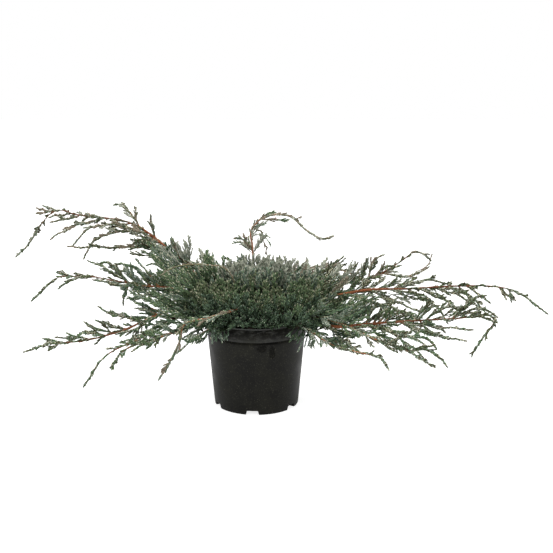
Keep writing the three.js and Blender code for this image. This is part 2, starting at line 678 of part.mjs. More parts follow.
function makeCushion(cushion, seed) {
  const node = `cushion_${cushion.name}`;
  const roll = dice(seed);
  const core = makeCore(cushion).subtract(wasm.Manifold.union(channels(cushion)));
  const stem = toSolid(limb(cushion.stem, taper(CUSHION_STEM, CUSHION_STEM), BOUGH_SIDES));
  const items = [core, stem];
  const count = cushion.isTop ? TOP_CUSHION_RAYS : CUSHION_RAYS;
  for (let i = 0; i < count; i += 1) {
    const z = 1 - (2 * (i + 0.5)) / count;
    const swing = i * GOLDEN_ANGLE + roll();
    const round = Math.sqrt(1 - z * z);
    const direction = vec(round * Math.cos(swing), round * Math.sin(swing), z);
    const { depth, open } = coreDepth(cushion, direction);
    if (open) {
      const surface = cushion.centre.clone().addScaledVector(direction, depth - SPRAY_SUNK);
      const outward = vec(surface.x, surface.y, 0).normalize();
      const along = direction.clone().addScaledVector(outward, SPRAY_LEAN_OUT).normalize();
      along.z = Math.max(along.z, LOWEST_SLOPE);
      along.normalize();
      const flat = vec(roll() - 0.5, roll() - 0.5, roll() - 0.5).normalize();
      const length = CUSHION_SPRAY_LENGTH * varied(roll);
      addSpray(node, items, { root: surface, along, flat, length });
    }
  }
  return toGeometry(fuse(items));
}

// The whole shrub and its pot
const group = new THREE.Group();

function add(name, geometry, material) {
  const mesh = new THREE.Mesh(geometry, material);
  mesh.name = name;
  group.add(mesh);
}

add('pot', makePot(), BLACK_PLASTIC);
add('soil', makeSoil(), POTTING_SOIL);
add('trunk', trunkShape(), OLD_BARK);
leaders.forEach((leader) => add(`bough_${leader.name}`, makeBough(leader), RED_BARK));
leaders.forEach((leader, i) => add(`shoot_${leader.name}`, makeShoot(leader, 101 + i), BLUE_NEEDLES));
cushions.forEach((cushion, i) => add(`cushion_${cushion.name}`, makeCushion(cushion, 301 + i), GREEN_NEEDLES));

export default group;
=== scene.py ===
"""A spreading blue juniper in a black nursery pot: its pot, soil, bark and foliage, round the fixed frame.

Lengths in the plant's tables are in millimetres, and meshes are made in metres. Headings are in degrees:
0 points right (+X), 90 to the back (+Y), 180 left and 270 to the front.

The shoots, whips and single plumes that show were read off the photograph. Helper scripts that aren't kept
turned these places to rounded millimetres and degrees with the stage's camera, and fitted the turn, climb,
bend and length of most side shoots to them. Those at the back were chosen.
"""

import functools
import math

import bpy
import numpy as np
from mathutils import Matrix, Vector


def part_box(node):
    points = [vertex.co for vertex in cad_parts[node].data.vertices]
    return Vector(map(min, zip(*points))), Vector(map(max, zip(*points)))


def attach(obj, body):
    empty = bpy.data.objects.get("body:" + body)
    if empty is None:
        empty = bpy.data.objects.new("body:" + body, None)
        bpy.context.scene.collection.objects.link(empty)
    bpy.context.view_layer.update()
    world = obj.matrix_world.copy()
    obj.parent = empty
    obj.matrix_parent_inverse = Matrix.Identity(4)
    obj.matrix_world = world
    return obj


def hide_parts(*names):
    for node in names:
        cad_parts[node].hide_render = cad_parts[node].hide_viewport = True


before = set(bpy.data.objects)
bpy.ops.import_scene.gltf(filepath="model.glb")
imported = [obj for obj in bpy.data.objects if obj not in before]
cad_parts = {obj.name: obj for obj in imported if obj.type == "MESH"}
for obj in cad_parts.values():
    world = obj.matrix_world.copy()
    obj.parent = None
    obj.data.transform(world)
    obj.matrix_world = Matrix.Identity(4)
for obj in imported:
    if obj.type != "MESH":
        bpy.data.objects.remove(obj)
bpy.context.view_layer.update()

bl_info = {
    "name": "Potted Spreading Juniper",
    "version": (1, 0, 0),
    "blender": (4, 5, 0),
    "location": "3D View > Sidebar > Juniper",
    "description": "Dresses a potted spreading juniper: pot, soil, bark and needle foliage",
    "category": "Object",
}

MM = 0.001
POT_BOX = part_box("pot")
TRUNK_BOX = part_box("trunk")
SOIL_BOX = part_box("soil")

# Tints of needles, dealt out by spray, and their names in full
SILVER, BLUE, GREEN, OLIVE, DEEP, SHADE, TIP, TAN = range(8)
TINTS = ("silver", "blue_green", "green", "olive", "deep_green", "shade", "tip", "tan")

# The leading shoots, as the frame has them: heading, height on the trunk, and places
# [reach from the axis, height, turn]. The first place is the crown's edge.
LEADERS = [
    ("left_high", 158, 245, [[193, 326], [243, 359], [288, 388], [342, 407], [427, 413], [484, 416],
                             [524, 424], [552, 416], [590, 381], [630, 330], [663, 301]]),
    ("left_middle", 180, 236, [[190, 271], [244, 277], [312, 287], [380, 299], [426, 299], [448, 299],
                               [475, 281], [512, 247]]),
    ("left_low", 192, 226, [[200, 227], [244, 214], [289, 195], [334, 181], [400, 169], [465, 168],
                            [513, 155]]),
    ("left_fore", 203, 216, [[200, 219], [280, 182], [353, 152], [398, 97]]),
    ("left_near", 214, 206, [[195, 203], [255, 194], [330, 181], [360, 154]]),
    ("front_left", 252, 224, [[150, 256], [190, 243, -14], [222, 232, -24], [229, 190, -27],
                              [245, 142, -31], [261, 114, -33]]),
    ("right_near", 312, 204, [[185, 206], [240, 192], [316, 191], [380, 193], [396, 182]]),
    ("right_fore", 322, 214, [[195, 232], [271, 219], [334, 205], [406, 195], [456, 177]]),
    ("right_low", 340, 225, [[190, 198], [243, 207], [310, 219], [381, 230], [466, 243], [522, 255],
                             [537, 245], [519, 210], [498, 172]]),
    ("right_middle", 3, 232, [[190, 253], [252, 264], [357, 266], [462, 271], [569, 267], [617, 250],
                              [679, 206]]),
    ("right_high", 25, 240, [[200, 260], [289, 266], [345, 280], [394, 303], [425, 320], [456, 314],
                             [474, 301]]),
    ("back_right", 48, 232, [[190, 264], [300, 268], [430, 215]]),
    ("back_far_right", 70, 214, [[185, 240], [320, 250], [470, 190]]),
    ("back_middle", 92, 228, [[180, 245], [300, 240], [410, 180]]),
    ("back_far_left", 113, 214, [[185, 248], [330, 255], [480, 200]]),
    ("back_left", 136, 236, [[185, 272], [290, 284], [380, 235]]),
    ("top", 95, 253, [[108, 326], [110, 355, 1], [107, 382, 3], [98, 412, -7], [91, 429, -30],
                      [102, 428, -54], [129, 397, -71], [154, 381, -79], [172, 384, -83]]),
]

# The larger side shoots of each leading shoot: the reach where they leave it, turn, first climb,
# bend down by the tip, and length
SIDE_SHOOTS = {
    "left_high": [(226, 22, 0, 0, 228), (241, 22, 30, 90, 226), (276, 22, 6, 78, 174),
                  (297, -22, 47, 64, 112), (390, 22, -9, 32, 146), (420, -24, -8, 30, 84),
                  (468, 22, -17, -13, 70), (492, -22, -11, -2, 103), (539, -22, 10, 0, 50)],
    "left_middle": [(221, -22, 44, -7, 76), (239, 22, 4, -20, 128), (245, 22, 62, 78, 98),
                    (287, -22, 28, 12, 108), (293, 22, 68, 78, 78), (369, 22, 5, 52, 79)],
    "left_low": [(207, -22, 12, -20, 80), (213, 22, -24, -20, 106), (253, -22, 7, -18, 101),
                 (325, -22, 10, -20, 66), (342, 22, 28, 62, 71), (372, -22, 3, 10, 76)],
    "left_fore": [(237, 22, -13, -9, 85)],
    "left_near": [(234, 22, -4, 0, 93)],
    "right_middle": [(207, -22, -13, 0, 156), (260, -22, -20, -5, 123), (314, 22, 12, 46, 167),
                     (320, -22, -11, 50, 142), (368, -22, -17, 16, 99), (392, 22, -14, 21, 129),
                     (434, -22, -12, 60, 94), (469, 22, -36, 11, 100)],
    "right_high": [(293, 22, 65, 75, 79), (328, -22, -14, -62, 120), (339, 22, 3, -7, 65)],
    "right_low": [(240, -22, 4, 20, 171), (275, -22, -14, 20, 134), (299, 22, 41, 78, 66),
                  (329, 22, -8, -5, 158), (334, -22, -16, -19, 82), (340, -22, -11, -18, 149),
                  (441, 22, 30, 73, 101), (447, 22, 54, 43, 77), (470, -22, 11, 21, 66)],
    "right_fore": [(316, -22, -4, 8, 68), (345, -22, 7, 20, 108), (351, 16, 30, 78, 105),
                   (399, 22, 9, 78, 87)],
    "right_near": [(214, 22, -7, -20, 69)],
    "back_right": [(250, 24, 4, 26, 130)],
    "back_far_right": [(280, -24, 6, 30, 140), (340, 22, -8, 20, 90)],
    "back_middle": [(250, 26, 2, 24, 120)],
    "back_far_left": [(280, 22, 4, 26, 140), (350, -24, -6, 20, 96)],
    "back_left": [(240, 22, 6, 22, 110)],
    "top": [(109.5, 40, 62, 90, 60)],
}

# Finer side shoots, which the frame leaves to this dressing
FINE_SIDE_SHOOTS = {
    "left_high": [(196, 22, 80, 10, 42), (201, -22, 67, 0, 36), (256, -22, 67, -17, 46),
                  (270, 22, -32, -20, 62), (320, 22, -10, 40, 60), (545, 22, 1, 13, 33),
                  (590, -22, -38, 20, 30)],
    "left_middle": [(269, -22, 56, 78, 58), (281, 22, -50, 38, 45), (417, -22, 11, 5, 38)],
    "left_low": [(219, -22, 14, 4, 51), (291, -22, 6, -20, 64), (437, -22, 8, 9, 38),
                 (443, 22, -32, -3, 26)],
    "left_near": [(216, -22, -6, -17, 44)],
    "right_middle": [(350, 22, -23, 6, 57), (487, -22, -25, 21, 58), (559, -22, -40, -3, 28),
                     (588, 22, -58, 16, 24)],
    "right_high": [(275, -22, 80, 9, 48), (316, -22, 54, 78, 50)],
    "right_low": [(211, 22, 74, 41, 60), (258, 22, 69, 54, 55), (275, 22, 69, 63, 43), (287, 22, 55, 58, 51),
                  (364, 22, 54, 24, 49), (370, -22, 49, 26, 62), (376, 22, -46, 23, 32),
                  (388, 22, 45, 78, 76)],
    "right_near": [(250, 22, 4, 19, 47)],
}

# Single plumes where the plant has them: place of the root, heading, climb, length and tint
CROWN_TUFTS = [
    (-108, 10, 317, 115, 75, 43, GREEN), (-120, 10, 319, 74, 74, 37, GREEN),
    (-103, 5, 318, 81, 72, 33, GREEN), (-94, 0, 319, 111, 66, 26, BLUE), (-74, 20, 315, 110, 69, 29, GREEN),
    (-47, 40, 322, 180, 26, 32, GREEN), (-38, 40, 311, 133, 76, 28, BLUE), (-36, 40, 311, 54, 80, 35, BLUE),
    (-16, 60, 306, 115, 80, 32, SILVER), (-6, 60, 306, 89, 82, 34, SILVER), (1, 50, 308, 76, 81, 32, SILVER),
    (11, 50, 308, 115, 79, 28, SILVER), (17, 60, 306, 18, 64, 36, SILVER), (27, 60, 306, 23, 65, 31, SILVER),
    (67, 50, 308, 72, 80, 29, SILVER), (106, 40, 306, 28, 60, 21, SILVER), (142, 60, 290, 65, 77, 25, BLUE),
    (166, 60, 292, 28, 71, 32, BLUE), (187, 60, 287, 46, 63, 30, SILVER), (214, 70, 285, 35, 61, 36, SILVER),
    (230, 119, 269, 40, 69, 43, SILVER), (251, 128, 267, 50, 70, 39, SILVER),
    (-162, 70, 309, 139, 76, 65, SILVER), (-158, 75, 313, 101, 81, 69, SILVER),
    (-169, 70, 314, 145, 70, 52, SILVER), (-177, 75, 318, 165, 67, 49, BLUE),
    (-142, 50, 308, 47, 73, 24, BLUE), (63, -146, 255, 300, 61, 43, DEEP),
    (72, -144, 259, 236, 59, 38, GREEN), (76, -140, 265, 297, 61, 37, DEEP),
    (-40, -146, 260, 298, 65, 38, DEEP), (-32, -140, 267, 245, 61, 37, GREEN),
    (-6, 88, 262, 96, 66, 56, SILVER), (14, 86, 260, 70, 64, 54, SILVER), (-22, 90, 258, 118, 62, 52, BLUE),
    (4, 104, 248, 88, 52, 56, BLUE), (-14, 112, 240, 104, 44, 54, GREEN), (20, 108, 244, 66, 46, 54, SILVER),
    (-34, 98, 250, 128, 52, 52, SILVER), (32, 96, 252, 54, 54, 52, BLUE), (0, 72, 272, 92, 76, 52, SILVER),
    (-18, 74, 270, 112, 72, 52, BLUE), (16, 70, 272, 72, 74, 50, SILVER), (6, 122, 232, 84, 36, 56, GREEN),
    (67, -124, 241, 283, 56, 48, DEEP), (78, -126, 232, 295, 54, 49, GREEN),
    (91, -128, 221, 297, 52, 51, DEEP), (100, -130, 215, 300, 48, 49, DEEP),
    (65, -122, 254, 251, 54, 46, GREEN), (83, -122, 245, 297, 49, 48, DEEP),
    (107, -122, 227, 305, 47, 46, GREEN), (74, -134, 221, 274, 58, 41, DEEP),
    (89, -130, 238, 295, 53, 40, GREEN), (72, -118, 261, 284, 55, 43, GREEN),
]
SIDE_TUFTS = [
    (-158, 20, 293, 173, 46, 98, BLUE), (-169, 40, 303, 167, 48, 81, SILVER),
    (-171, 10, 300, 173, 39, 92, BLUE), (-161, 0, 281, 176, 44, 99, GREEN),
    (-174, -10, 270, 176, 49, 107, GREEN), (-182, 13, 255, 182, 41, 85, GREEN),
    (-168, 20, 232, 189, 42, 83, GREEN), (-165, -60, 240, 193, 32, 77, GREEN),
    (-177, 18, 242, 187, 37, 86, BLUE), (-178, -60, 231, 192, 29, 80, GREEN),
    (-147, -50, 261, 188, 41, 78, GREEN), (-158, -30, 270, 187, 44, 76, GREEN),
    (-172, -80, 227, 195, 32, 67, GREEN), (-143, -100, 227, 201, 17, 63, GREEN),
    (-147, -110, 217, 206, 12, 51, DEEP), (-130, -110, 212, 203, -5, 46, DEEP),
    (154, 33, 192, 350, 44, 79, GREEN), (166, -70, 212, 349, 43, 83, GREEN),
    (186, -55, 206, 348, 41, 85, GREEN), (198, -60, 201, 347, 36, 96, GREEN),
    (144, 29, 222, 351, 39, 71, GREEN), (167, 29, 224, 354, 32, 58, GREEN), (161, 0, 253, 6, 38, 62, SILVER),
    (147, -100, 209, 341, 36, 69, DEEP), (46, 50, 304, 65, 79, 29, SILVER),
    (57, 50, 304, 125, 78, 28, SILVER), (78, 45, 305, 36, 72, 28, SILVER), (95, 45, 302, 47, 75, 26, SILVER),
    (27, 50, 304, 133, 77, 31, SILVER), (-25, 50, 308, 103, 80, 30, SILVER),
    (-227, 20, 275, 195, -16, 57, GREEN), (-223, 14, 266, 195, -24, 50, GREEN),
    (-242, 21, 277, 195, -11, 49, BLUE), (-176, -80, 227, 196, 1, 44, GREEN),
    (-181, -84, 219, 197, 1, 40, GREEN), (225, 45, 230, 342, 26, 65, GREEN),
    (224, -64, 250, 340, 23, 60, GREEN), (214, 39, 241, 345, 25, 55, BLUE),
    (301, -100, 218, 348, 19, 59, GREEN), (309, -104, 217, 350, 14, 58, GREEN),
    (288, -98, 220, 349, 20, 55, BLUE), (242, -120, 206, 344, -13, 59, GREEN),
    (255, -124, 202, 342, -17, 60, GREEN), (159, -44, 190, 337, -5, 48, GREEN),
    (167, -126, 204, 337, -5, 53, DEEP), (180, -130, 206, 337, -5, 51, GREEN),
    (188, -134, 204, 334, -5, 40, GREEN), (-109, -92, 196, 199, -33, 44, GREEN),
    (-120, -96, 194, 204, -22, 43, GREEN), (-105, -92, 189, 198, -42, 34, DEEP),
    (112, -92, 196, 336, -53, 32, DEEP), (138, 10, 260, 8, 33, 67, BLUE), (152, 4, 257, 8, 41, 64, BLUE),
    (165, -4, 252, 4, 40, 63, TAN), (153, 30, 270, 11, 42, 58, SILVER), (171, 26, 266, 10, 38, 60, SILVER),
    (197, 115, 241, 10, 38, 59, SILVER), (-129, 0, 272, 184, 45, 63, GREEN),
    (-137, -10, 263, 186, 38, 64, GREEN), (-146, -20, 251, 190, 31, 61, GREEN),
    (-149, -40, 237, 194, 20, 60, GREEN), (-121, 20, 277, 177, 39, 59, BLUE),
    (-168, 17, 258, 188, 28, 60, BLUE), (410, -80, 222, 351, 33, 45, BLUE),
    (428, -80, 224, 351, 27, 43, GREEN), (263, -83, 207, 346, 2, 57, GREEN),
    (-176, -90, 216, 196, -9, 59, GREEN), (-184, -96, 208, 196, -9, 58, GREEN),
    (-57, 40, 301, 156, 80, 29, SILVER), (-43, 42, 301, 85, 86, 29, SILVER),
    (-71, 38, 299, 156, 79, 26, SILVER), (-31, 44, 303, 86, 86, 28, SILVER),
    (67, 44, 300, 23, 79, 26, SILVER), (85, 44, 300, 16, 73, 25, SILVER), (288, 27, 266, 7, 16, 54, SILVER),
    (326, 29, 268, 7, 11, 53, BLUE), (269, 28, 256, 350, -17, 58, TAN), (307, 28, 253, 350, -17, 58, SILVER),
    (332, 10, 255, 350, -14, 57, BLUE), (165, -90, 238, 346, 31, 61, GREEN),
    (174, -96, 226, 344, 27, 60, GREEN), (163, 34, 216, 347, 36, 58, BLUE),
    (189, -57, 206, 344, 27, 60, GREEN), (-133, -56, 290, 189, 37, 66, GREEN),
    (-137, -66, 269, 191, 30, 64, GREEN), (-145, -72, 257, 193, 24, 63, BLUE),
    (-128, -60, 277, 191, 36, 57, GREEN), (-93, 20, 274, 170, 62, 50, GREEN),
    (-102, 16, 271, 172, 56, 53, GREEN), (-114, 14, 271, 172, 56, 53, BLUE),
    (-125, 10, 267, 173, 54, 58, GREEN), (-134, 6, 263, 174, 50, 57, GREEN),
    (-82, 24, 274, 174, 68, 48, GREEN), (-71, 26, 278, 172, 72, 44, GREEN),
    (-59, 28, 280, 156, 75, 38, BLUE), (-144, 10, 274, 174, 45, 55, BLUE),
    (-152, 4, 266, 175, 38, 56, GREEN), (-98, 26, 285, 171, 55, 45, BLUE),
    (-117, 24, 285, 172, 51, 48, BLUE), (-135, 20, 284, 173, 47, 47, GREEN),
    (-194, 99, 313, 169, 44, 60, DEEP), (-199, 64, 330, 167, 31, 52, GREEN),
    (-180, 60, 316, 171, 53, 62, DEEP), (-208, 66, 339, 165, 28, 51, BLUE),
    (-222, 64, 334, 165, 43, 54, GREEN), (-213, 60, 321, 168, 25, 51, GREEN),
    (-228, 72, 347, 164, 35, 55, DEEP), (-203, 56, 310, 170, 27, 54, BLUE),
    (-232, 66, 327, 166, 25, 46, GREEN), (-171, 58, 312, 170, 55, 57, BLUE),
    (-124, -8, 264, 187, 50, 75, GREEN), (-139, -16, 252, 189, 50, 82, BLUE),
    (-159, 17, 239, 188, 46, 80, GREEN), (-173, 19, 234, 189, 44, 70, BLUE),
    (-187, 20, 229, 189, 38, 64, GREEN), (-152, -4, 268, 187, 52, 79, BLUE),
    (-175, 0, 267, 189, 48, 72, GREEN), (-196, 19, 253, 192, 39, 63, BLUE),
    (-164, 22, 219, 191, 41, 67, GREEN), (-141, 22, 214, 192, 48, 72, BLUE),
    (-101, -2, 286, 127, 78, 71, GREEN), (-90, -2, 286, 138, 76, 61, GREEN),
    (-111, 1, 286, 129, 79, 63, GREEN), (166, -70, 215, 348, 42, 66, GREEN),
    (184, -76, 212, 347, 38, 68, BLUE), (154, 30, 192, 350, 47, 65, GREEN),
    (202, -61, 208, 347, 37, 66, BLUE), (177, 34, 216, 348, 39, 63, GREEN),
    (194, -50, 228, 347, 33, 64, GREEN), (146, -30, 237, 346, 47, 60, BLUE),
    (216, -60, 226, 345, 30, 62, GREEN), (-220, -14, 252, 184, 25, 64, GREEN),
    (-205, -20, 246, 186, 27, 60, BLUE), (-238, -8, 260, 182, 21, 60, DEEP),
    (-191, -26, 241, 189, 29, 61, GREEN), (-222, -30, 244, 187, 22, 53, BLUE),
    (-199, -36, 234, 191, 26, 59, GREEN), (-241, -26, 250, 185, 23, 51, GREEN),
    (-183, -16, 250, 188, 31, 52, DEEP), (-250, -26, 255, 186, -2, 41, GREEN),
    (-252, 80, 355, 171, 20, 52, GREEN), (-238, 76, 342, 171, 23, 53, DEEP),
    (-256, 70, 333, 172, 11, 44, BLUE),
]
TOP_SHOOT_TUFTS = [
    (-15, 106, 336, 185, 45, 32, SILVER), (-15, 106, 341, 173, 52, 26, TAN),
    (-24, 105, 350, 185, 34, 29, SILVER), (-38, 103, 360, 186, -6, 21, GREEN),
    (-17, 107, 350, 180, 27, 11, TAN), (-10, 104, 365, 223, 83, 26, SILVER),
    (-9, 104, 378, 345, 53, 25, SILVER), (-9, 104, 385, 343, 59, 27, BLUE),
    (-2, 102, 400, 351, 22, 27, SILVER), (-7, 102, 392, 351, 35, 24, SILVER),
    (-8, 106, 335, 342, 59, 37, SILVER), (0, 104, 346, 339, 63, 37, SILVER),
    (6, 102, 356, 344, 53, 31, SILVER), (7, 102, 359, 22, 79, 27, SILVER),
    (-9, 106, 375, 351, 20, 19, SILVER), (-7, 102, 395, 352, -29, 23, TAN),
    (15, 98, 379, 350, -14, 18, BLUE), (15, 98, 367, 334, -69, 25, TAN), (22, 97, 372, 337, -59, 20, GREEN),
    (23, 94, 348, 226, -80, 16, TAN), (-9, 102, 397, 349, 19, 33, BLUE), (1, 98, 410, 346, 39, 32, TAN),
    (20, 90, 427, 346, 23, 26, GREEN), (13, 92, 417, 347, -2, 36, TAN), (46, 80, 418, 342, 4, 32, GREEN),
    (92, 60, 423, 348, 24, 16, TAN),
]
RIM_TUFTS = [
    (-93, -98, 209, 241, -77, 41, BLUE), (-80, -104, 206, 317, -75, 34, BLUE),
    (-105, -92, 207, 242, -72, 29, BLUE), (-86, -102, 207, 290, -78, 31, DEEP),
    (-71, -106, 206, 327, -71, 28, DEEP), (-60, -110, 207, 306, -76, 16, DEEP),
    (108, -94, 203, 213, -61, 39, DEEP), (112, -90, 197, 217, -71, 51, BLUE),
    (99, -98, 206, 208, -51, 40, DEEP), (117, -84, 191, 230, -73, 36, BLUE),
    (88, -104, 208, 207, -46, 28, DEEP), (126, -78, 189, 211, -71, 35, BLUE),
    (131, -76, 184, 222, -74, 33, BLUE), (131, -80, 181, 333, -55, 23, SILVER),
    (139, -96, 192, 322, -51, 26, BLUE), (147, -110, 194, 338, -33, 39, DEEP),
    (163, -130, 190, 332, -25, 37, DEEP), (155, -120, 188, 329, 8, 39, DEEP),
    (176, -136, 188, 340, 21, 43, DEEP), (168, -120, 194, 333, 13, 67, DEEP),
    (184, -150, 185, 331, -9, 38, DEEP),
]

# Small shoots low in front: place of the root, heading, first climb, bend down by the tip, and length
SMALL_SHOOTS = [(-96, -96, 208, 222, -20, 8, 98), (-104, -84, 207, 205, -12, 24, 60)]

# Thin whips, by the places they pass: one over the crown's left shoulder, one hooked at the right
WHIPS = [
    [(-44, -46, 284), (-50, -52, 304), (-58, -56, 321), (-72, -60, 333), (-96, -66, 339), (-122, -72, 342),
     (-147, -78, 343), (-173, -84, 339), (-195, -90, 330)],
    [(384, 120, 285), (398, 121, 290), (410, 122, 298), (418, 124, 309), (422, 126, 324)],
]

# The crown's cushions: name, heading and reach of the middle, its height, height on the trunk
CUSHIONS = [
    ("right", 14, 124, 234, 206), ("back_right", 59, 112, 234, 204), ("back", 102, 110, 234, 203),
    ("back_left", 147, 112, 236, 206), ("left", 198, 116, 238, 255), ("front_left", 233, 112, 234, 214),
    ("front", 278, 110, 234, 210), ("front_right", 331, 116, 234, 196),
    ("top_right", 30, 48, 268, 258), ("top_left", 150, 48, 268, 258), ("top_front", 270, 48, 266, 258),
]

# Trunk, boughs and stems: heights and radii in millimetres
SOIL_TOP = 185
TRUNK_TOP = 264
TRUNK_LEAN = (3, 2)
TRUNK_PROFILE = [(0, 20), (0.06, 15.5), (0.18, 12.5), (0.4, 11), (0.7, 9.5), (0.92, 8), (1, 6)]
BOUGH_BASE = 3.5
BOUGH_END = 2.8
DRIED_BOUGH = 1.9
SHOOT_TIP = 0.9
SIDE_SHOOT_BASE = 1.9
WHIP_BASES = (1.1, 1.2)
CUSHION_STEM = 3
CUSHION_STEM_END = 2.4
LIMB_GAP = 0.4

# Stems that aren't as thick as the bough's end, and those that show from inside the crown's edge
STEMS = {"right_middle": 3.4, "right_low": 3.4, "left_middle": 2.1}
SHOWN_INSIDE = ("right_middle", "right_low")

# Twigs to plumes: how far one may reach, hangs and runs on inside its plume, and radii where they start
TWIG_REACH = 16
TWIG_HANG = 4
TWIG_INSIDE = 8
TOP_TWIG = 0.9
TUFT_TWIG = 1.2
CUSHION_TWIG = 1.6

# Routes
FINE_STEP = 6
WAVER = 7
WAVE_LENGTH = 64
OVER_RIM = (121, 215)

# The pot, as foliage meets it. Foliage leaves the pot's front in sight: it keeps above a hem at the rim,
# which is higher further in front, and drapes over the rim at two places.
RIM_RADIUS = 115
POT_HEIGHT = 206
MOUTH_RADIUS = 111
FRONT = -60
HEM_SLOPE = 0.28
DRAPES = ((-112, -58), (72, 112))
DRAPE_DROP = 30
SPRAY_CLEARANCE = 2.5
KNOT_CLEARANCE = 3

# Above this height no foliage meets the pot
OPEN_HEIGHT = 235

# The crown's dome, and its layers of plumes: their length, rays from a cushion's middle, and how deep
# their roots are sunk
DOME_MIDDLE = np.array([6.0, 4.0, 200.0])
DOME_HALF = np.array([180.0, 160.0, 88.0])
CORE_FLOOR = POT_HEIGHT + 5
CORE_INNER_REACH = 60
TOP_CORE_FLOOR = 248
GOLDEN_ANGLE = 2.39996
RAYS = {"outer": 180, "top": 155, "inner": 60}
SUNK = {"outer": 30, "top": 20, "inner": 52}
PLUME_LENGTH = 60
TOP_PLUME_LENGTH = 62

# How far from a tip the last side cord starts, and the shortest side cord, before it is varied
PLAIN_END = 4
SHORTEST = 7

# Cords along a stem that clad it, and short ones that make it look knotted
CLAD_LENGTH = 14
CLAD_WIDTH = 2.3
KNOT_WIDTH = 2.2
WHIP_KNOT_WIDTH = 1.3

# How far sprays near the crown turn up, where it isn't the usual
RISES = {"left_high": -0.12, "back_left": -0.15, "right_high": 0.3, "right_middle": 0.25, "left_middle": 0.2}

# Shoots whose stem shows its bark for longer, and those clad with foliage from the start
BARE = ("left_high", "right_middle", "right_low", "left_low", "left_middle")
CLAD = ("right_fore", "right_near", "left_near", "back_right", "back_middle")

# How long sprays are on shoots that carry few
SIZES = {"left_fore": 0.62, "left_near": 0.6, "right_near": 0.55, "left_low": 0.85}

# Tints, in the order of the tints: lighter on a cord's upper side, partly for the bloom and partly as painted
# light, and darker as painted shade under a cord and at the base of short cords
BLOOM_AND_PAINTED_LIGHT_TINT = np.array([SILVER, SILVER, BLUE, TIP, GREEN, SHADE, TIP, TAN])
PAINTED_SHADE_TINT = np.array([BLUE, GREEN, DEEP, DEEP, SHADE, SHADE, GREEN, OLIVE])

# Short cords, and how many needles near their end are pale, on shoots and on the crown
SHORT_CORD = 30
TIP_SHARES = {"shoot": 0.25, "cushion": 0.7}

# Where cords are brown: beyond a reach, there by depth and height, below or above another height or
# beyond a place at the left, and above a third height beyond a place at the right
BROWN_REACH = 250
BROWN_DEPTH = 60
BROWN_HIGH = 305
BROWN_MIDDLE = 235
BROWN_LEFT = -300
BROWN_RIGHT = 150
BROWN_RIGHT_HIGH = 262

# The most needles that one piece holds
PIECE_NEEDLES = 60000

# What the streams of numbers start from
SHOOT_SEED = 101
TOP_SEED = 211
CUSHION_SEED = 301
TUFT_SEED = 401
NEEDLE_SEEDS = {"shoot": 11, "cushion": 12}


def unit(v):
    """The vector at length one, along its last axis."""
    v = np.asarray(v, float)
    return v / np.maximum(np.linalg.norm(v, axis=-1, keepdims=True), 1e-9)


def unit1(v):
    """One direction at length one."""
    return v / max(1e-9, math.sqrt(v[0] * v[0] + v[1] * v[1] + v[2] * v[2]))


def cross(a, b):
    """The cross product of two directions."""
    return np.array([a[1] * b[2] - a[2] * b[1], a[2] * b[0] - a[0] * b[2], a[0] * b[1] - a[1] * b[0]])


def square_to(along, wish):
    """The part of a wished direction that is square to another."""
    return unit1(wish - along * (wish @ along))


def polar(heading, reach, height):
    """A place at a heading, a reach from the axis and a height."""
    turn = math.radians(heading)
    return np.array([reach * math.cos(turn), reach * math.sin(turn), height])


def dice(seed):
    """A repeatable stream of numbers from 0 to 1, the one that the frame's shoots use."""
    state = seed

    def roll():
        nonlocal state
        state = (state * 16807) % 2147483647
        return state / 2147483647

    return roll


def varied(roll, spread=0.4):
    """A factor that varies about 1."""
    return 1 + spread * (roll() - 0.5)


def smooth_route(stations):
    """A smooth curve in even steps through its stations, which doesn't overshoot between near ones."""
    p = [np.asarray(s, float) for s in stations]
    last = len(p) - 1

    def at(t):
        i = min(int(last * t), last - 1)
        w = last * t - i
        p1, p2 = p[i], p[i + 1]
        p0 = p[i - 1] if i > 0 else 2 * p1 - p2
        p3 = p[i + 2] if i + 2 <= last else 2 * p2 - p1
        d0, d1, d2 = (math.sqrt(np.linalg.norm(b - a)) for a, b in ((p0, p1), (p1, p2), (p2, p3)))
        m1 = ((p1 - p0) / d0 - (p2 - p0) / (d0 + d1) + (p2 - p1) / d1) * d1
        m2 = ((p2 - p1) / d1 - (p3 - p1) / (d1 + d2) + (p3 - p2) / d2) * d1
        return p1 + m1 * w + (3 * (p2 - p1) - 2 * m1 - m2) * w * w + (2 * (p1 - p2) + m1 + m2) * w ** 3

    shares = np.linspace(0, 1, 201)
    steps = np.linalg.norm(np.diff([at(t) for t in shares], axis=0), axis=1)
    lengths = np.concatenate([[0], np.cumsum(steps)])
    wanted = np.linspace(0, lengths[-1], round(lengths[-1] / FINE_STEP) + 1)
    return np.array([at(t) for t in np.interp(wanted, lengths, shares)])


def headings_along(points):
    """The direction of a route at each of its points."""
    return unit(np.concatenate([points[1:], points[-1:]]) - np.concatenate([points[:1], points[:-1]]))


def trunk_centre(height):
    share = min(1, max(0, (height - SOIL_TOP) / (TRUNK_TOP - SOIL_TOP)))
    return np.array([TRUNK_LEAN[0] * share ** 2, TRUNK_LEAN[1] * share ** 2, height])


def trunk_radius(height):
    return float(np.interp((height - SOIL_TOP) / (TRUNK_TOP - SOIL_TOP), *zip(*TRUNK_PROFILE)))


def limb_start(heading, height, radius):
    """Where a limb leaves the trunk, clear of the bark below it."""
    return trunk_centre(height) + polar(heading, trunk_radius(height - radius) + LIMB_GAP, 0)


def first_beyond(route, reach):
    """The first place on a route at least as far from the axis as a reach."""
    return int(np.argmax(np.hypot(route[:, 0], route[:, 1]) >= reach))


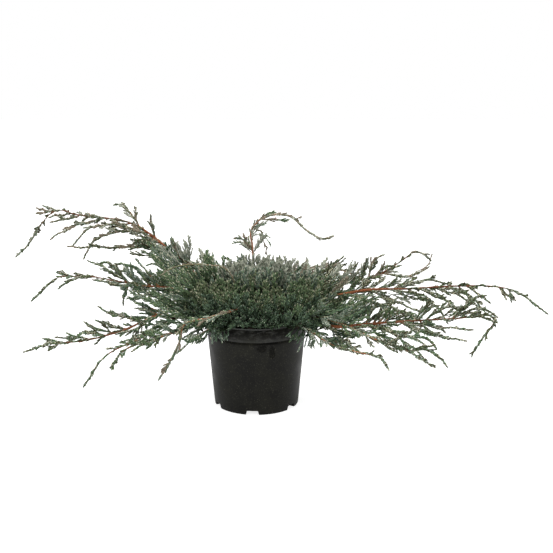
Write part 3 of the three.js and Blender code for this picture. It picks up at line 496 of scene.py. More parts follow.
def leader_route(heading, leaves, places):
    """A leading shoot from the trunk to its tip, split at the crown's edge: bough, then shoot."""
    edge_reach, edge_height = places[0][:2]
    stations = [limb_start(heading, leaves, BOUGH_BASE)]
    rim_share = OVER_RIM[0] / edge_reach
    if rim_share < 0.9:
        straight = leaves + (edge_height - leaves) * rim_share
        stations.append(polar(heading, OVER_RIM[0], max(OVER_RIM[1], straight)))
    stations += [polar(heading + sum(turn), reach, height) for reach, height, *turn in places]
    route = smooth_route(stations)
    split = first_beyond(route, edge_reach)
    return route[:split + 1], route[split:]


def side_shoot_route(parent, at, turn, climb, sag, length):
    """A side shoot that leaves its parent at a reach and bends down towards its tip."""
    i = first_beyond(parent, at)
    along = headings_along(parent)[i]
    return bent_route(parent[i], math.degrees(math.atan2(along[1], along[0])) + turn, climb, sag, length)


def bent_route(root, heading, climb, sag, length):
    """A shoot that bends down towards its tip, and wavers a little on its way."""
    count = round(length / FINE_STEP)
    stations = np.arange(count)
    waver = WAVER * np.sin(stations * FINE_STEP * 2 * math.pi / WAVE_LENGTH + root[0])
    climbs = np.radians(climb - sag * ((stations + 0.5) / count) ** 2 + waver)
    steps = np.array([polar(heading, math.cos(c), math.sin(c)) for c in climbs]) * (length / count)
    return np.concatenate([[root], root + np.cumsum(steps, axis=0)])


def grow_limbs():
    """Every bough, leading shoot and side shoot, by name."""
    boughs, shoots, sides = {}, {}, {}
    for name, *shape in LEADERS:
        boughs[name], shoots[name] = leader_route(*shape)
        rows = SIDE_SHOOTS.get(name, []) + FINE_SIDE_SHOOTS.get(name, [])
        sides[name] = [side_shoot_route(shoots[name], *row) for row in rows]
    return boughs, shoots, sides


# Meshes from arrays

def hand_over(piece, finish, nodes):
    """Gives a piece its finish, and puts it on the body in place of its nodes."""
    piece.data.materials.append(finish)
    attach(piece, "root")
    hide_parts(*nodes)


def mesh_piece(name, vertices, faces, smooth=False):
    """A mesh object from arrays in millimetres."""
    mesh = bpy.data.meshes.new(name)
    mesh.from_pydata(vertices * MM, [], faces, shade_flat=not smooth)
    piece = bpy.data.objects.new(name, mesh)
    bpy.context.scene.collection.objects.link(piece)
    return piece


class Cords:
    """Leafy cords: each has a start, a direction, a sideways bend, a length, a core radius and a tint."""

    def __init__(self):
        self.rows = []
        self.tints = []

    def add(self, start, along, bend, length, width, tint):
        self.rows.append((*start, *along, *bend, length, width))
        self.tints.append(tint)


def cord_points(rows, share):
    """Points on the cords at a share of their length, and the directions along, beside and over them."""
    start, along, bend, length = rows[:, 0:3], rows[:, 3:6], rows[:, 6:9], rows[:, 9:10]
    share = np.broadcast_to(share, len(rows)).reshape(-1, 1)
    point = start + length * (along * share + bend * share ** 2)
    along = unit(along + 2 * bend * share)
    side = np.cross(along, [0.0, 0.0, 1.0])
    flat = np.linalg.norm(side, axis=1) < 0.05
    side[flat] = np.cross(along[flat], [1.0, 0.0, 0.0])
    side = unit(side)
    return point, along, side, np.cross(along, side)


def repeated(pattern, count, corners):
    """The faces of many like bodies, each with its own run of corners."""
    return (np.array(pattern)[None] + (np.arange(count) * corners)[:, None, None]).reshape(-1, 3)


def cord_cores(rows):
    """The green body under each cord's needles: three rings of three corners and a blunt tip, closed."""
    corners = []
    for share, swell in ((0.0, 0.6), (0.5, 0.85), (0.9, 0.9)):
        point, _, side, other = cord_points(rows, share)
        for angle in (0.0, 2 * math.pi / 3, 4 * math.pi / 3):
            outward = math.cos(angle) * side + math.sin(angle) * other
            corners.append(point + swell * rows[:, 10:11] * outward)
    vertices = np.stack(corners + [cord_points(rows, 1.0)[0]], axis=1).reshape(-1, 3)
    pattern = [[0, 2, 1]]
    for k in range(3):
        n = (k + 1) % 3
        for ring in (0, 3):
            pattern += [[ring + k, ring + n, ring + n + 3], [ring + k, ring + n + 3, ring + k + 3]]
        pattern.append([k + 6, n + 6, 9])
    return vertices, repeated(pattern, len(rows), 10)


def needle_places(rows, spacing, rng):
    """Where every needle sits: its cord, share of the cord's length, point, direction and radius."""
    counts = np.maximum(3, (rows[:, 9] / spacing).astype(int))
    owner = np.repeat(np.arange(len(rows)), counts)
    order = np.arange(len(owner)) - np.concatenate([[0], np.cumsum(counts)[:-1]])[owner]
    share = 0.02 + 0.98 * (order + 0.6 * rng.random_sample(len(owner))) / counts[owner]
    point, along, side, other = cord_points(rows[owner], share)
    swing = order * GOLDEN_ANGLE + rng.random_sample(len(owner)) * 0.8
    radial = side * np.cos(swing)[:, None] + other * np.sin(swing)[:, None]
    point = point + radial * rows[owner, 10:11] * (0.8 - 0.3 * share ** 3)[:, None]
    return owner, share, point, along, radial


def needles(point, along, radial, length, width, lean):
    """Pointed needles of two faces, folded along the back like the scale leaves of a juniper."""
    direction = unit(along * np.cos(lean)[:, None] + radial * np.sin(lean)[:, None])
    side = unit(np.cross(direction, radial))
    half = (width / 2)[:, None]
    ridge = point + np.cross(side, direction) * half * 0.7
    corners = [point + side * half, point - side * half, ridge, point + direction * length[:, None]]
    return np.stack(corners, axis=1).reshape(-1, 3), repeated([[0, 3, 2], [2, 3, 1]], len(point), 4)


# How sprays grow

def hem(x, y):
    """The lowest height of foliage in front of the pot."""
    drop = DRAPE_DROP if any(left < x < right for left, right in DRAPES) else 0
    return POT_HEIGHT + HEM_SLOPE * (-y - RIM_RADIUS) + 1.0 - drop


def is_clear(points, radius):
    """Whether foliage may pass the points: it touches no wall or rim, and leaves the pot's front in sight."""
    for x, y, z in points:
        reach = math.hypot(x, y)
        in_mouth = reach < MOUTH_RADIUS - radius and z > SOIL_TOP + 3 + radius
        if not in_mouth and reach < RIM_RADIUS + radius + 1 and z < POT_HEIGHT + radius + 0.5:
            return False
        if y < FRONT and abs(x) < RIM_RADIUS and z < hem(x, y) + radius:
            return False
    return True


def lifted(root, along, length):
    """A spray's direction, turned up until the spray is clear of the pot, or None."""
    for lift in (0, 0.25, 0.55, 0.9):
        direction = unit1(along + np.array([0, 0, lift]))
        places = [root + direction * (length * share) for share in (0.05, 0.3, 0.55, 1.0)]
        if is_clear(places, SPRAY_CLEARANCE):
            return direction
    return None


def grow_plume(cords, root, along, flat, length, tint, roll, fan=0.42, gap=6.4, width=2.3, longest=27,
               lean=17):
    """A plume: one cord, and shorter cords pressed forward along it to both sides."""
    beside = cross(along, flat)
    bend = beside * (0.2 * (roll() - 0.5)) + flat * (0.2 * (roll() - 0.5))
    cords.add(root, along, bend, length, width, tint)
    side = -1 if roll() < 0.5 else 1
    at = length * 0.1 + gap * roll()
    while at < length - PLAIN_END:
        share = at / length
        point = root + length * (along * share + bend * share ** 2)
        spread = math.radians(lean * (0.9 + 0.9 * roll()))
        turn = 1.5 * (roll() - 0.5)
        outward = side * (beside * math.cos(turn) + flat * math.sin(turn))
        direction = unit1(along * math.cos(spread) + outward * math.sin(spread) + 2 * share * bend)
        size = min(longest, ((length - at) * fan + SHORTEST) * varied(roll, 0.5))
        if point[2] > OPEN_HEIGHT or is_clear([point + direction * size], SPRAY_CLEARANCE):
            cords.add(point, direction, -0.1 * outward, size, width * 0.92, tint)
        side = -side
        at += gap * varied(roll, 0.6)


def stem_length(route):
    """The length of a route whose points are a fine step apart."""
    return (len(route) - 1) * FINE_STEP


def value_at(value, at, length):
    """A measure that is fixed, or that changes along a stem."""
    return value(at, length) if callable(value) else value


def uneven_places(route, roll, first, last, step, spread):
    """Places along a stem in uneven steps: the distance, the point, and directions forward, beside, above."""
    along = headings_along(route)
    at = first
    while at < last:
        i = min(len(route) - 2, int(at / FINE_STEP))
        beside = unit1(cross(along[i], np.array([0.0, 0.0, 1.0])))
        point = route[i] + (route[i + 1] - route[i]) * (at / FINE_STEP - i)
        yield at, point, along[i], beside, cross(beside, along[i])
        at += value_at(step, at, stem_length(route)) * varied(roll, spread)


def grow_knots(cords, route, roll, tint_at, first, step, size, clad_from=0.0, width=KNOT_WIDTH):
    """Short forward cords all round a stem, which make it look knotted, and cords along it that clad it."""
    length = stem_length(route)
    turn = 6.3 * roll()
    for at, point, forward, beside, above in uneven_places(route, roll, first, length, step, 0.5):
        outward = beside * math.cos(turn) + above * math.sin(turn)
        spread = math.radians(10 + 13 * roll())
        direction = unit1(forward * math.cos(spread) + outward * math.sin(spread))
        reach = value_at(size, at, length) * varied(roll, 0.8)
        if is_clear([point + direction * reach], KNOT_CLEARANCE):
            cords.add(point, direction, -0.12 * outward, reach, width, tint_at(point, roll))
        if at > clad_from * length and is_clear([point + forward * CLAD_LENGTH], KNOT_CLEARANCE):
            cords.add(point, forward, np.zeros(3), CLAD_LENGTH, CLAD_WIDTH, tint_at(point, roll))
        turn += GOLDEN_ANGLE + 0.7 * roll()


def grow_sprays(cords, route, roll, tint_at, first, step, size, last=math.inf, rise=0.0, spread=32, fan=0.34,
                aside=False, hang=False):
    """Plumes that leave a stem to one side and the other in turn, by the frame's rule at a finer step."""
    length = stem_length(route)
    last = min(length - PLAIN_END, last)
    side = -1 if roll() < 0.5 else 1
    for at, point, forward, beside, above in uneven_places(route, roll, first, last, step, 0.4):
        opening = math.radians(spread + 14 * (roll() - 0.5))
        tilt = math.radians(130 * (roll() - 0.45))
        outward = side * beside * math.cos(tilt) + above * math.sin(tilt)
        if aside and outward[1] < 0 and outward[2] > -0.5:
            outward[1] *= -1
        if hang and outward[2] > 0:
            outward[2] *= -1
        direction = forward * math.cos(opening) + outward * math.sin(opening)
        reach = value_at(size, at, length) * varied(roll, 0.7)
        direction = lifted(point, unit1(direction + np.array([0, 0, rise])), reach)
        if direction is not None:
            flat = square_to(direction, above * math.cos(tilt) - side * beside * math.sin(tilt))
            tint = tint_at(point + direction * reach, roll)
            grow_plume(cords, point, direction, flat, reach, tint, roll, fan)
        side = -side


def pick_tint(pick, *shares):
    """The tint whose share of the whole a number from 0 to 1 falls in."""
    return next(tint for limit, tint in shares if pick <= limit)


def shoot_tint(place, roll):
    """The tint of foliage on a long shoot: paler where it grows high at the back or at the right's back."""
    x, y, z = place
    if z > 300 and y > 60 or x > 0 and y > 90:
        return pick_tint(roll(), (0.24, TAN), (0.38, SILVER), (0.6, BLUE), (0.8, OLIVE), (1, DEEP))
    return pick_tint(roll(), (0.38, BLUE), (0.66, GREEN), (0.76, OLIVE), (1, DEEP))


def top_tint(place, roll):
    """The tint of foliage on the shoot that stands up from the crown."""
    return pick_tint(roll(), (0.6, TAN), (0.85, SILVER), (0.95, BLUE), (1, OLIVE))


def dried_tint(place, roll):
    """The tint of foliage on a shoot that dries out."""
    return TAN if roll() < 0.4 else shoot_tint(place, roll)


def whip_tint(place, roll):
    """The tint of foliage on a thin whip."""
    return pick_tint(roll(), (0.5, TAN), (0.75, OLIVE), (1, SILVER))


def cushion_tint(place, roll):
    """The tint of a plume of the crown, by where it grows: silver at the top and back, dark low in front."""
    # Silver at the top and back stands partly for the bloom and partly for painted light; the dark tints low
    # in front are painted shade
    light = (place[2] - 262) / 60 + place[1] / 200 + 0.5 * (roll() - 0.5)
    if light > 0.06:
        return SILVER if light > 0.42 else BLUE
    if light > -0.8:
        return GREEN if roll() < 0.66 else OLIVE
    return DEEP


def grow_shoot(cords, name, bough, shoot, sides, roll):
    """All foliage on one long shoot, its bough's outer part and its side shoots."""
    length = stem_length(shoot)
    tint_at = shoot_tint
    if name == "top":
        grow_knots(cords, shoot, roll, top_tint, first=52, step=5, size=17, clad_from=0.32)
    elif name == "front_left":
        tint_at = dried_tint
        grow_sprays(cords, bough, roll, shoot_tint, first=96, step=13, size=34, rise=0.1, fan=0.36)
        grow_knots(cords, bough, roll, tint_at, first=140, step=8, size=8, clad_from=0.9)
        grow_knots(cords, shoot, roll, tint_at, first=2, step=5, size=14)
        grow_sprays(cords, shoot, roll, tint_at, first=8, last=length - 30, step=14, size=26, rise=-0.1,
                    spread=24)
    else:
        slight = SIZES.get(name, 1.0)
        aside = name in BARE
        if name in CLAD:
            grow_knots(cords, bough, roll, tint_at, first=60, step=3.5, size=18)
            grow_knots(cords, shoot[:20], roll, tint_at, first=2, step=5, size=16)
        if name == "left_high":
            grow_knots(cords, bough, roll, tint_at, first=30, step=4, size=18)
        grow_sprays(cords, bough, roll, tint_at, first=first_beyond(bough, 95) * FINE_STEP, step=6.5,
                    size=62 * slight, rise=RISES.get(name, 0.25), spread=36, fan=0.36, aside=aside)
        grow_sprays(cords, shoot, roll, tint_at, first=3, last=110, step=lambda at, length: 6.5 + at / 20,
                    size=lambda at, length: (60 - at / 4) * slight, rise=RISES.get(name, 0.12), spread=34,
                    aside=aside, hang=name == "left_high")
        grow_sprays(cords, shoot, roll, tint_at, first=110, step=20,
                    size=lambda at, length: 32 - 20 * at / length, spread=24, fan=0.3)
        grow_knots(cords, shoot, roll, tint_at, first=150 if aside else 70, step=16, size=13, clad_from=2)
        grow_knots(cords, shoot, roll, tint_at, first=0.78 * length, step=6, size=12)
    for route in sides:
        grow_side(cords, route, roll, tint_at)


def grow_side(cords, route, roll, tint_at):
    """The foliage of a side shoot: knotted cords and short plumes, and a plain cord at its end."""
    length = stem_length(route)
    grow_knots(cords, route, roll, tint_at, first=4, step=6, size=lambda at, length: 13 - 4 * at / length)
    grow_sprays(cords, route, roll, tint_at, first=6, last=length - min(52, 0.35 * length), step=9,
                size=lambda at, length: 32 - 18 * at / length, spread=19)


def tuft_direction(tuft):
    """Which way a single plume points."""
    climb = math.radians(tuft[4])
    return polar(tuft[3], math.cos(climb), math.sin(climb))


def grow_tuft(cords, tuft, roll):
    """A single plume of the tables, slimmer where it is short."""
    along = tuft_direction(tuft)
    flat = square_to(along, np.array([0.3 * (roll() - 0.5), -1.0, 0.3]))
    length, tint = tuft[5:]
    shape = {"gap": 8, "fan": 0.25, "width": 1.6} if length < 26 else {"gap": 7, "width": 2.1}
    grow_plume(cords, np.array(tuft[:3], float), along, flat, length, tint, roll, **shape)


def tuft_twigs(tufts, stems, base):
    """Twigs that carry the single plumes near a stem, each from the nearest place on it."""
    twigs = []
    for tuft in tufts:
        root = np.array(tuft[:3], float)
        away = np.linalg.norm(stems - root, axis=1)
        if away.min() < TWIG_REACH:
            twigs.append((stems[np.argmin(away)], root, tuft_direction(tuft), base))
    return twigs


def twig_routes(twigs):
    """Slightly hanging twigs from a stem to a little way into their plume."""
    routes = []
    shares = np.linspace(0, 1, 4)[:, None]
    for start, root, along, base in twigs:
        bend = (start + root) / 2 - np.array([0, 0, TWIG_HANG])
        points = start * (1 - shares) ** 2 + 2 * bend * shares * (1 - shares)
        points += (root + along * TWIG_INSIDE) * shares ** 2
        routes.append((points, base, 0.55 * base))
    return routes


def core_depth(centres, i, direction):
    """How far a ray from a cushion's middle runs inside its core, and whether it ends in the open."""
    _, heading, cushion_reach, _, _ = CUSHIONS[i]
    centre = centres[i]
    is_top = cushion_reach < CORE_INNER_REACH
    offset = (centre - DOME_MIDDLE) / DOME_HALF
    slope = direction / DOME_HALF
    a, b, c = slope @ slope, offset @ slope, offset @ offset - 1
    limits = [((-b + math.sqrt(b * b - a * c)) / a, True)]
    if direction[2] < -1e-6:
        floor = TOP_CORE_FLOOR if is_top else CORE_FLOOR
        limits.append(((floor - centre[2]) / direction[2], not is_top))
    inward = -direction @ polar(heading, 1, 0)
    if inward > 1e-6 and not is_top:
        limits.append(((cushion_reach - CORE_INNER_REACH) / inward, False))
    for k, other in enumerate(centres):
        between = other - centre
        closing = direction @ unit1(between)
        if k != i and closing > 1e-6:
            limits.append(((np.linalg.norm(between) / 2 - 1) / closing, False))
    return min(limits)


def grow_cushion(cords, twigs, i, centres, roll):
    """The plumes of one cushion that end in the open, in an outer and a dark inner layer, and their twigs."""
    centre = centres[i]
    is_top = CUSHIONS[i][2] < CORE_INNER_REACH
    for layer in ("top" if is_top else "outer", "inner"):
        for k in range(RAYS[layer]):
            z = 1 - 2 * (k + 0.5) / RAYS[layer]
            swing = k * GOLDEN_ANGLE + 0.6 * roll()
            ring = math.sqrt(1 - z * z)
            direction = np.array([ring * math.cos(swing), ring * math.sin(swing), z])
            depth, is_open = core_depth(centres, i, direction)
            length = (TOP_PLUME_LENGTH if is_top else PLUME_LENGTH) * varied(roll, 0.45)
            sunk = SUNK[layer] + 12 * roll()
            wander = np.array([roll() - 0.5, roll() - 0.5, roll() - 0.5])
            if not is_open:
                continue
            surface = centre + direction * depth
            normal = unit1((surface - DOME_MIDDLE) / DOME_HALF ** 2)
            rise = min(0.3 if is_top else 0.5, max(-0.2, (surface[2] - 226) / 70))
            rise += min(0.5, max(0, (abs(surface[0]) - 40) / 200))
            along = unit1(normal + np.array([0, 0, rise]) + 0.5 * wander)
            root = surface - along * sunk
            along = lifted(root, along, length)
            if along is None:
                continue
            twigs.append((centre, root, along, CUSHION_TWIG))
            flat = square_to(along, unit1(wander[[1, 2, 0]]))
            # The inner layer takes the shade tint: painted shade deep inside the crown
            tint, shape = SHADE, {"gap": 8, "width": 2.4}
            if layer != "inner":
                tint = cushion_tint(root + along * (length / 2), roll)
                shape = {"gap": 6.2, "width": 2.6, "longest": 22}
            grow_plume(cords, root, along, flat, length, tint, roll, lean=22, **shape)


# Materials

def srgb(*color):
    """A colour from 0 to 255 values, as a linear one."""
    linear = [v / 255 / 12.92 if v / 255 <= 0.04045 else ((v / 255 + 0.055) / 1.055) ** 2.4 for v in color]
    return (*linear, 1.0)


class Shader:
    """A material with a Principled shader, and short calls for its nodes."""

    def __init__(self, name):
        self.material = bpy.data.materials.new(name)
        self.material.use_nodes = True
        self.tree = self.material.node_tree
        self.place = self.node("TexCoord", {}).outputs["Object"]

    def fill(self, node, inputs):
        """Gives a node's inputs their values, or links them to other nodes."""
        for name, value in inputs.items():
            if isinstance(value, bpy.types.NodeSocket):
                self.tree.links.new(value, node.inputs[name])
            else:
                node.inputs[name].default_value = value

    def node(self, kind, inputs, **settings):
        node = self.tree.nodes.new("ShaderNode" + kind)
        for name, value in settings.items():
            setattr(node, name, value)
        self.fill(node, inputs)
        return node

    def noise(self, scale, detail, stretch=None):
        place = self.place
        if stretch:
            place = self.node("Mapping", {"Scale": stretch, "Vector": place}).outputs["Vector"]
        return self.node("TexNoise", {"Scale": scale, "Detail": detail, "Vector": place}).outputs["Fac"]

    def ramp(self, value, *stops):
        """Colours by a value, or greys where a stop's colour is one number."""
        node = self.node("ValToRGB", {"Fac": value})
        elements = node.color_ramp.elements
        while len(elements) < len(stops):
            elements.new(0.5)
        for element, (at, color) in zip(elements, stops):
            element.position = at
            element.color = color if np.size(color) == 4 else (color, color, color, 1.0)
        return node.outputs["Color"]

    def within(self, axis, low, high):
        """0 below a place along an axis, 1 above another, and a slope between them."""
        part = self.node("SeparateXYZ", {"Vector": self.place}).outputs[axis]
        return self.node("MapRange", {"From Min": low, "From Max": high, "Value": part}).outputs["Result"]

    def calculate(self, operation, first, second):
        return self.node("Math", {0: first, 1: second}, operation=operation).outputs["Value"]

    def patch(self, across, up, edge=0.006):
        """1 inside a patch of the front, with soft edges."""
        inside = self.within(1, 0.0, -0.01)
        for axis, (low, high) in ((0, across), (2, up)):
            inside = self.calculate("MULTIPLY", inside, self.within(axis, low - edge, low + edge))
            inside = self.calculate("MULTIPLY", inside, self.within(axis, high + edge, high - edge))
        return inside

    def mix(self, factor, first, second):
        return self.node("Mix", {0: factor, 6: first, 7: second}, data_type="RGBA").outputs[2]

    def surface(self, color, roughness, specular, relief=None):
        """Sets the finish, with relief as (value, strength, distance), and gives the material."""
        inputs = {"Base Color": color, "Roughness": roughness, "Specular IOR Level": specular}
        if relief:
            bump = dict(zip(("Height", "Strength", "Distance"), relief))
            inputs["Normal"] = self.node("Bump", bump).outputs["Normal"]
        self.fill(self.tree.nodes["Principled BSDF"], inputs)
        return self.material


def needle_material(name, color):
    """Needles with a faint waxy bloom: one base colour that varies a little."""
    shader = Shader(name)
    darker, lighter = ((*np.minimum(color * tone, 1.0), 1.0) for tone in (0.78, 1.2))
    return shader.surface(shader.ramp(shader.noise(140.0, 3.0), (0.35, darker), (0.65, lighter)), 0.62, 0.02)


def bark_material(name, dark, light, scale=420.0, relief=0.0006, outer=None):
    """Fibrous bark, in streaks as far as noise gives them, and its colours far out to the sides."""
    shader = Shader(name)
    streaks = shader.noise(scale, 6.0)
    color = shader.ramp(streaks, (0.3, srgb(*dark)), (0.62, srgb(*light)))
    if outer:
        far = shader.calculate("MAXIMUM", shader.within(0, 0.24, 0.34), shader.within(0, -0.24, -0.34))
        color = shader.mix(far, color, shader.ramp(streaks, (0.3, srgb(*outer[0])), (0.62, srgb(*outer[1]))))
    return shader.surface(color, shader.ramp(streaks, (0.3, 0.9), (0.7, 0.62)), 0.0, (streaks, 0.8, relief))


@functools.cache
def young_bark():
    """The red-brown bark of young shoots, darker far out, made once."""
    return bark_material("red_young_bark", (78, 42, 28), (144, 92, 64), outer=((58, 36, 27), (112, 78, 60)))


def pot_material():
    """Black moulded plastic: satin, with a scuffed band, a damp stain, fine dust and painted light by height.
    """
    shader = Shader("black_moulded_plastic")
    # Painted light by height: a painted highlight on the lip and at the band's lower edge, a painted shadow
    # under the band and painted shade on the band's upper part; the specular level follows it
    painted_light_by_height = shader.ramp(shader.within(2, 0.160, 0.206), (0.0, 0.5), (0.14, 0.42), (0.22, 0.1), (0.29, 0.12),
                       (0.32, 0.7), (0.5, 0.5), (0.74, 0.2), (0.92, 0.15), (0.95, 1.0))
    base = shader.ramp(painted_light_by_height, (0.0, srgb(0, 0, 0)), (0.5, srgb(10, 10, 8)), (1.0, srgb(62, 63, 61)))
    dust = shader.noise(26.0, 9.0)
    dusty = shader.mix(shader.ramp(dust, (0.4, 0.0), (0.75, 0.45)), base, srgb(34, 34, 27))
    scuffs = shader.ramp(shader.noise(70.0, 6.0, (1.0, 1.0, 3.2)), (0.5, 0.0), (0.7, 0.7))
    on_band = shader.calculate("MULTIPLY", scuffs, shader.within(2, 0.172, 0.176))
    scuffed = shader.mix(on_band, dusty, srgb(52, 52, 50))
    patches = shader.calculate("MAXIMUM", shader.patch((0.004, 0.025), (0.152, 0.167)),
                               shader.patch((0.031, 0.043), (0.134, 0.165)))
    ragged = shader.mix(0.4, patches, shader.noise(110.0, 5.0))
    stain = shader.ramp(ragged, (0.46, 0.0), (0.54, 0.5))
    speckle = shader.noise(520.0, 2.0)
    specks = shader.ramp(speckle, (0.61, 0.0), (0.74, 0.6))
    color = shader.mix(specks, shader.mix(stain, scuffed, srgb(0, 0, 0)), srgb(74, 73, 62))
    gloss = shader.mix(stain, shader.ramp(painted_light_by_height, (0.1, 0.02), (0.5, 0.1)), srgb(0, 0, 0))
    roughness = shader.ramp(dust, (0.3, 0.42), (0.7, 0.62))
    return shader.surface(color, roughness, gloss, (speckle, 0.12, 0.0004))


def soil_material():
    """Dark, crumbly potting mix."""
    shader = Shader("bark_potting_mix")
    crumbs = shader.noise(220.0, 6.0)
    color = shader.ramp(crumbs, (0.3, srgb(24, 18, 14)), (0.7, srgb(74, 56, 42)))
    return shader.surface(color, 0.95, 0.5, (crumbs, 1.0, 0.002))


# Modelling with operators

def only(piece):
    """Deselects everything, then selects the piece and makes it the active one."""
    bpy.ops.object.select_all(action="DESELECT")
    piece.select_set(True)
    bpy.context.view_layer.objects.active = piece


def modified(piece, kind, **settings):
    """Adds a modifier to a piece and applies it, and puts the piece's place into its mesh."""
    modifier = piece.modifiers.new(kind.lower(), kind)
    for name, value in settings.items():
        setattr(modifier, name, value)
    only(piece)
    bpy.ops.object.modifier_apply(modifier=modifier.name)
    bpy.ops.object.transform_apply(location=True, rotation=True, scale=True)


def raise_rings(rings, sides, name):
    """A turned piece: a circle of edges that is extruded and resized from ring to ring."""
    radius, height = rings[0]
    bpy.ops.mesh.primitive_circle_add(vertices=sides, radius=radius * MM, fill_type="NGON",
                                      location=(0, 0, height * MM))
    piece = bpy.context.active_object
    piece.name = name
    bpy.ops.object.mode_set(mode="EDIT")
    bpy.ops.mesh.select_all(action="SELECT")
    bpy.ops.mesh.select_mode(type="EDGE")
    bpy.ops.mesh.region_to_loop()
    for (r0, z0), (r1, z1) in zip(rings, rings[1:]):
        bpy.ops.mesh.extrude_edges_move(TRANSFORM_OT_translate={"value": (0, 0, (z1 - z0) * MM)})
        bpy.ops.transform.resize(value=(r1 / r0, r1 / r0, 1), center_override=(0, 0, z1 * MM))
    bpy.ops.mesh.edge_face_add()
    bpy.ops.mesh.select_all(action="SELECT")
    bpy.ops.mesh.normals_make_consistent(inside=False)
    bpy.ops.object.mode_set(mode="OBJECT")
    return piece


def cutting_block(reach, height, heading, size):
    """A block that stands out from the axis, to cut with."""
    place = (reach * math.cos(heading), reach * math.sin(heading), height)
    bpy.ops.mesh.primitive_cube_add(size=1, location=place)
    block = bpy.context.active_object
    block.rotation_euler = (0, 0, heading)
    block.scale = size
    bpy.ops.object.transform_apply(location=False, rotation=False, scale=True)
    return block


def cut_with(piece, cutter):
    """Cuts one piece by another with an exact Boolean, and removes the cutter."""
    modified(piece, "BOOLEAN", operation="DIFFERENCE", solver="EXACT", object=cutter)
    bpy.data.objects.remove(cutter, do_unlink=True)


def edit_only(piece, kind, is_wanted):
    """Opens a piece in Edit Mode with only some of its vertices or edges selected."""
    bpy.ops.object.mode_set(mode="EDIT")
    bpy.ops.mesh.select_all(action="DESELECT")
    bpy.ops.object.mode_set(mode="OBJECT")
    for part in getattr(piece.data, kind):
        part.select = is_wanted(part)
    bpy.ops.object.mode_set(mode="EDIT")


def add_relief(piece, scale, strength):
    """Bark relief: a fine uneven surface on the limb's own mesh."""
    texture = bpy.data.textures.new(piece.name + "_relief", "CLOUDS")
    texture.noise_scale = scale
    texture.noise_depth = 3
    modified(piece, "DISPLACE", texture=texture, strength=strength, mid_level=0.5)


def limb_piece(name, routes, sides, finish, nodes, relief=0.0):
    """One piece of tapering limbs: curves with a round bevel, turned into a mesh with its bark's relief."""
    bpy.ops.curve.primitive_bezier_curve_add(location=(0, 0, 0))
    piece = bpy.context.active_object
    piece.name = name
    curve = piece.data
    curve.splines.clear()
    curve.dimensions = "3D"
    curve.bevel_depth = MM
    curve.bevel_resolution = (sides - 4) // 2
    curve.use_fill_caps = True
    for points, base, tip in routes:
        spline = curve.splines.new("POLY")
        spline.points.add(len(points) - 1)
        for i, (place, node) in enumerate(zip(points, spline.points)):
            node.co = (*(place * MM), 1.0)
            node.radius = base + (tip - base) * i / (len(points) - 1)
    only(piece)
    bpy.ops.object.convert(target="MESH")
    piece = bpy.context.active_object
    if relief:
        add_relief(piece, 0.003, relief)
    bpy.ops.object.shade_smooth()
    hand_over(piece, finish, nodes)


def length_setting(name, description, default):
    return bpy.props.FloatProperty(name=name, description=description, default=default, unit="LENGTH")


def angle_setting(name, description, degrees):
    return bpy.props.FloatProperty(
        name=name, description=description, default=math.radians(degrees), subtype="ANGLE")


def colour_setting(name, description, *color):
    return bpy.props.FloatVectorProperty(
        name=name, description=description, default=srgb(*color), size=4, subtype="COLOR")


class PotSettings(bpy.types.PropertyGroup):
    height: length_setting("Height", "Height of the pot", POT_BOX[1][2])
    rim_radius: length_setting("Rim radius", "Outer radius of the rim", POT_BOX[1][1])
    base_radius: length_setting("Base radius", "Outer radius of the foot", 0.098)
    band_height: length_setting("Band height", "Height of the band under the rim", 0.0325)
    band_proud: length_setting("Band proud", "How far the band stands out of the wall", 0.0015)
    wall: length_setting("Wall", "Thickness of the wall", 0.0025)
    notch_width: length_setting("Notch width", "Width of a foot notch at the ground", 0.031)
    notch_height: length_setting("Notch height", "Height of a foot notch", 0.010)
    first_notch: angle_setting("First notch", "Heading of the first notch", 265.6)
    label_slot: angle_setting("Label slot", "Heading of the slot for a label in the band", 262.6)


class FoliageSettings(bpy.types.PropertyGroup):
    needle_length: length_setting("Needle length", "Length of a needle", 0.0042)
    needle_width: length_setting("Needle width", "Width of a needle at its base", 0.0024)
    needle_spacing: length_setting("Needle spacing", "Distance along a cord between needles", 0.0019)
    needle_lean: angle_setting("Needle lean", "Angle between a needle and its cord", 11)
    silver: colour_setting("Silver", "Needles in full light on the crown's top", 168, 171, 155)
    blue_green: colour_setting("Blue-green", "Needles with a waxy bloom", 117, 132, 117)
    green: colour_setting("Green", "Fresh needles", 99, 118, 85)
    olive: colour_setting("Olive", "Older needles", 102, 112, 83)
    deep_green: colour_setting("Deep green", "Needles low in the crown", 78, 96, 77)
    shade: colour_setting("Shade", "Needles inside the crown", 37, 46, 31)
    tip: colour_setting("Tips", "Pale growing tips", 177, 175, 152)
    tan: colour_setting("Dried", "Dried sprays", 136, 126, 110)
    brown_cord: colour_setting("Brown cords", "Young bark under the needles of the shoots", 66, 62, 46)
    # The cords under the needles are darker copies of the needle tints: painted shade among the needles
    cord_tone: bpy.props.FloatProperty(
        name="Cord tone", description="How dark the bark under needles is, against the needles", default=0.6)


class StageSettings(bpy.types.PropertyGroup):
    camera_place: bpy.props.FloatVectorProperty(
        name="Camera", description="Where the camera stands", size=3, subtype="TRANSLATION", unit="LENGTH",
        default=(0.04685, -2.0143, 0.7393))
    camera_tilt: angle_setting("Camera tilt", "How far the camera looks down", 12.33)
    lens: bpy.props.FloatProperty(
        name="Lens", description="Focal length in millimetres on a 36 mm sensor", default=58.6, unit="CAMERA")


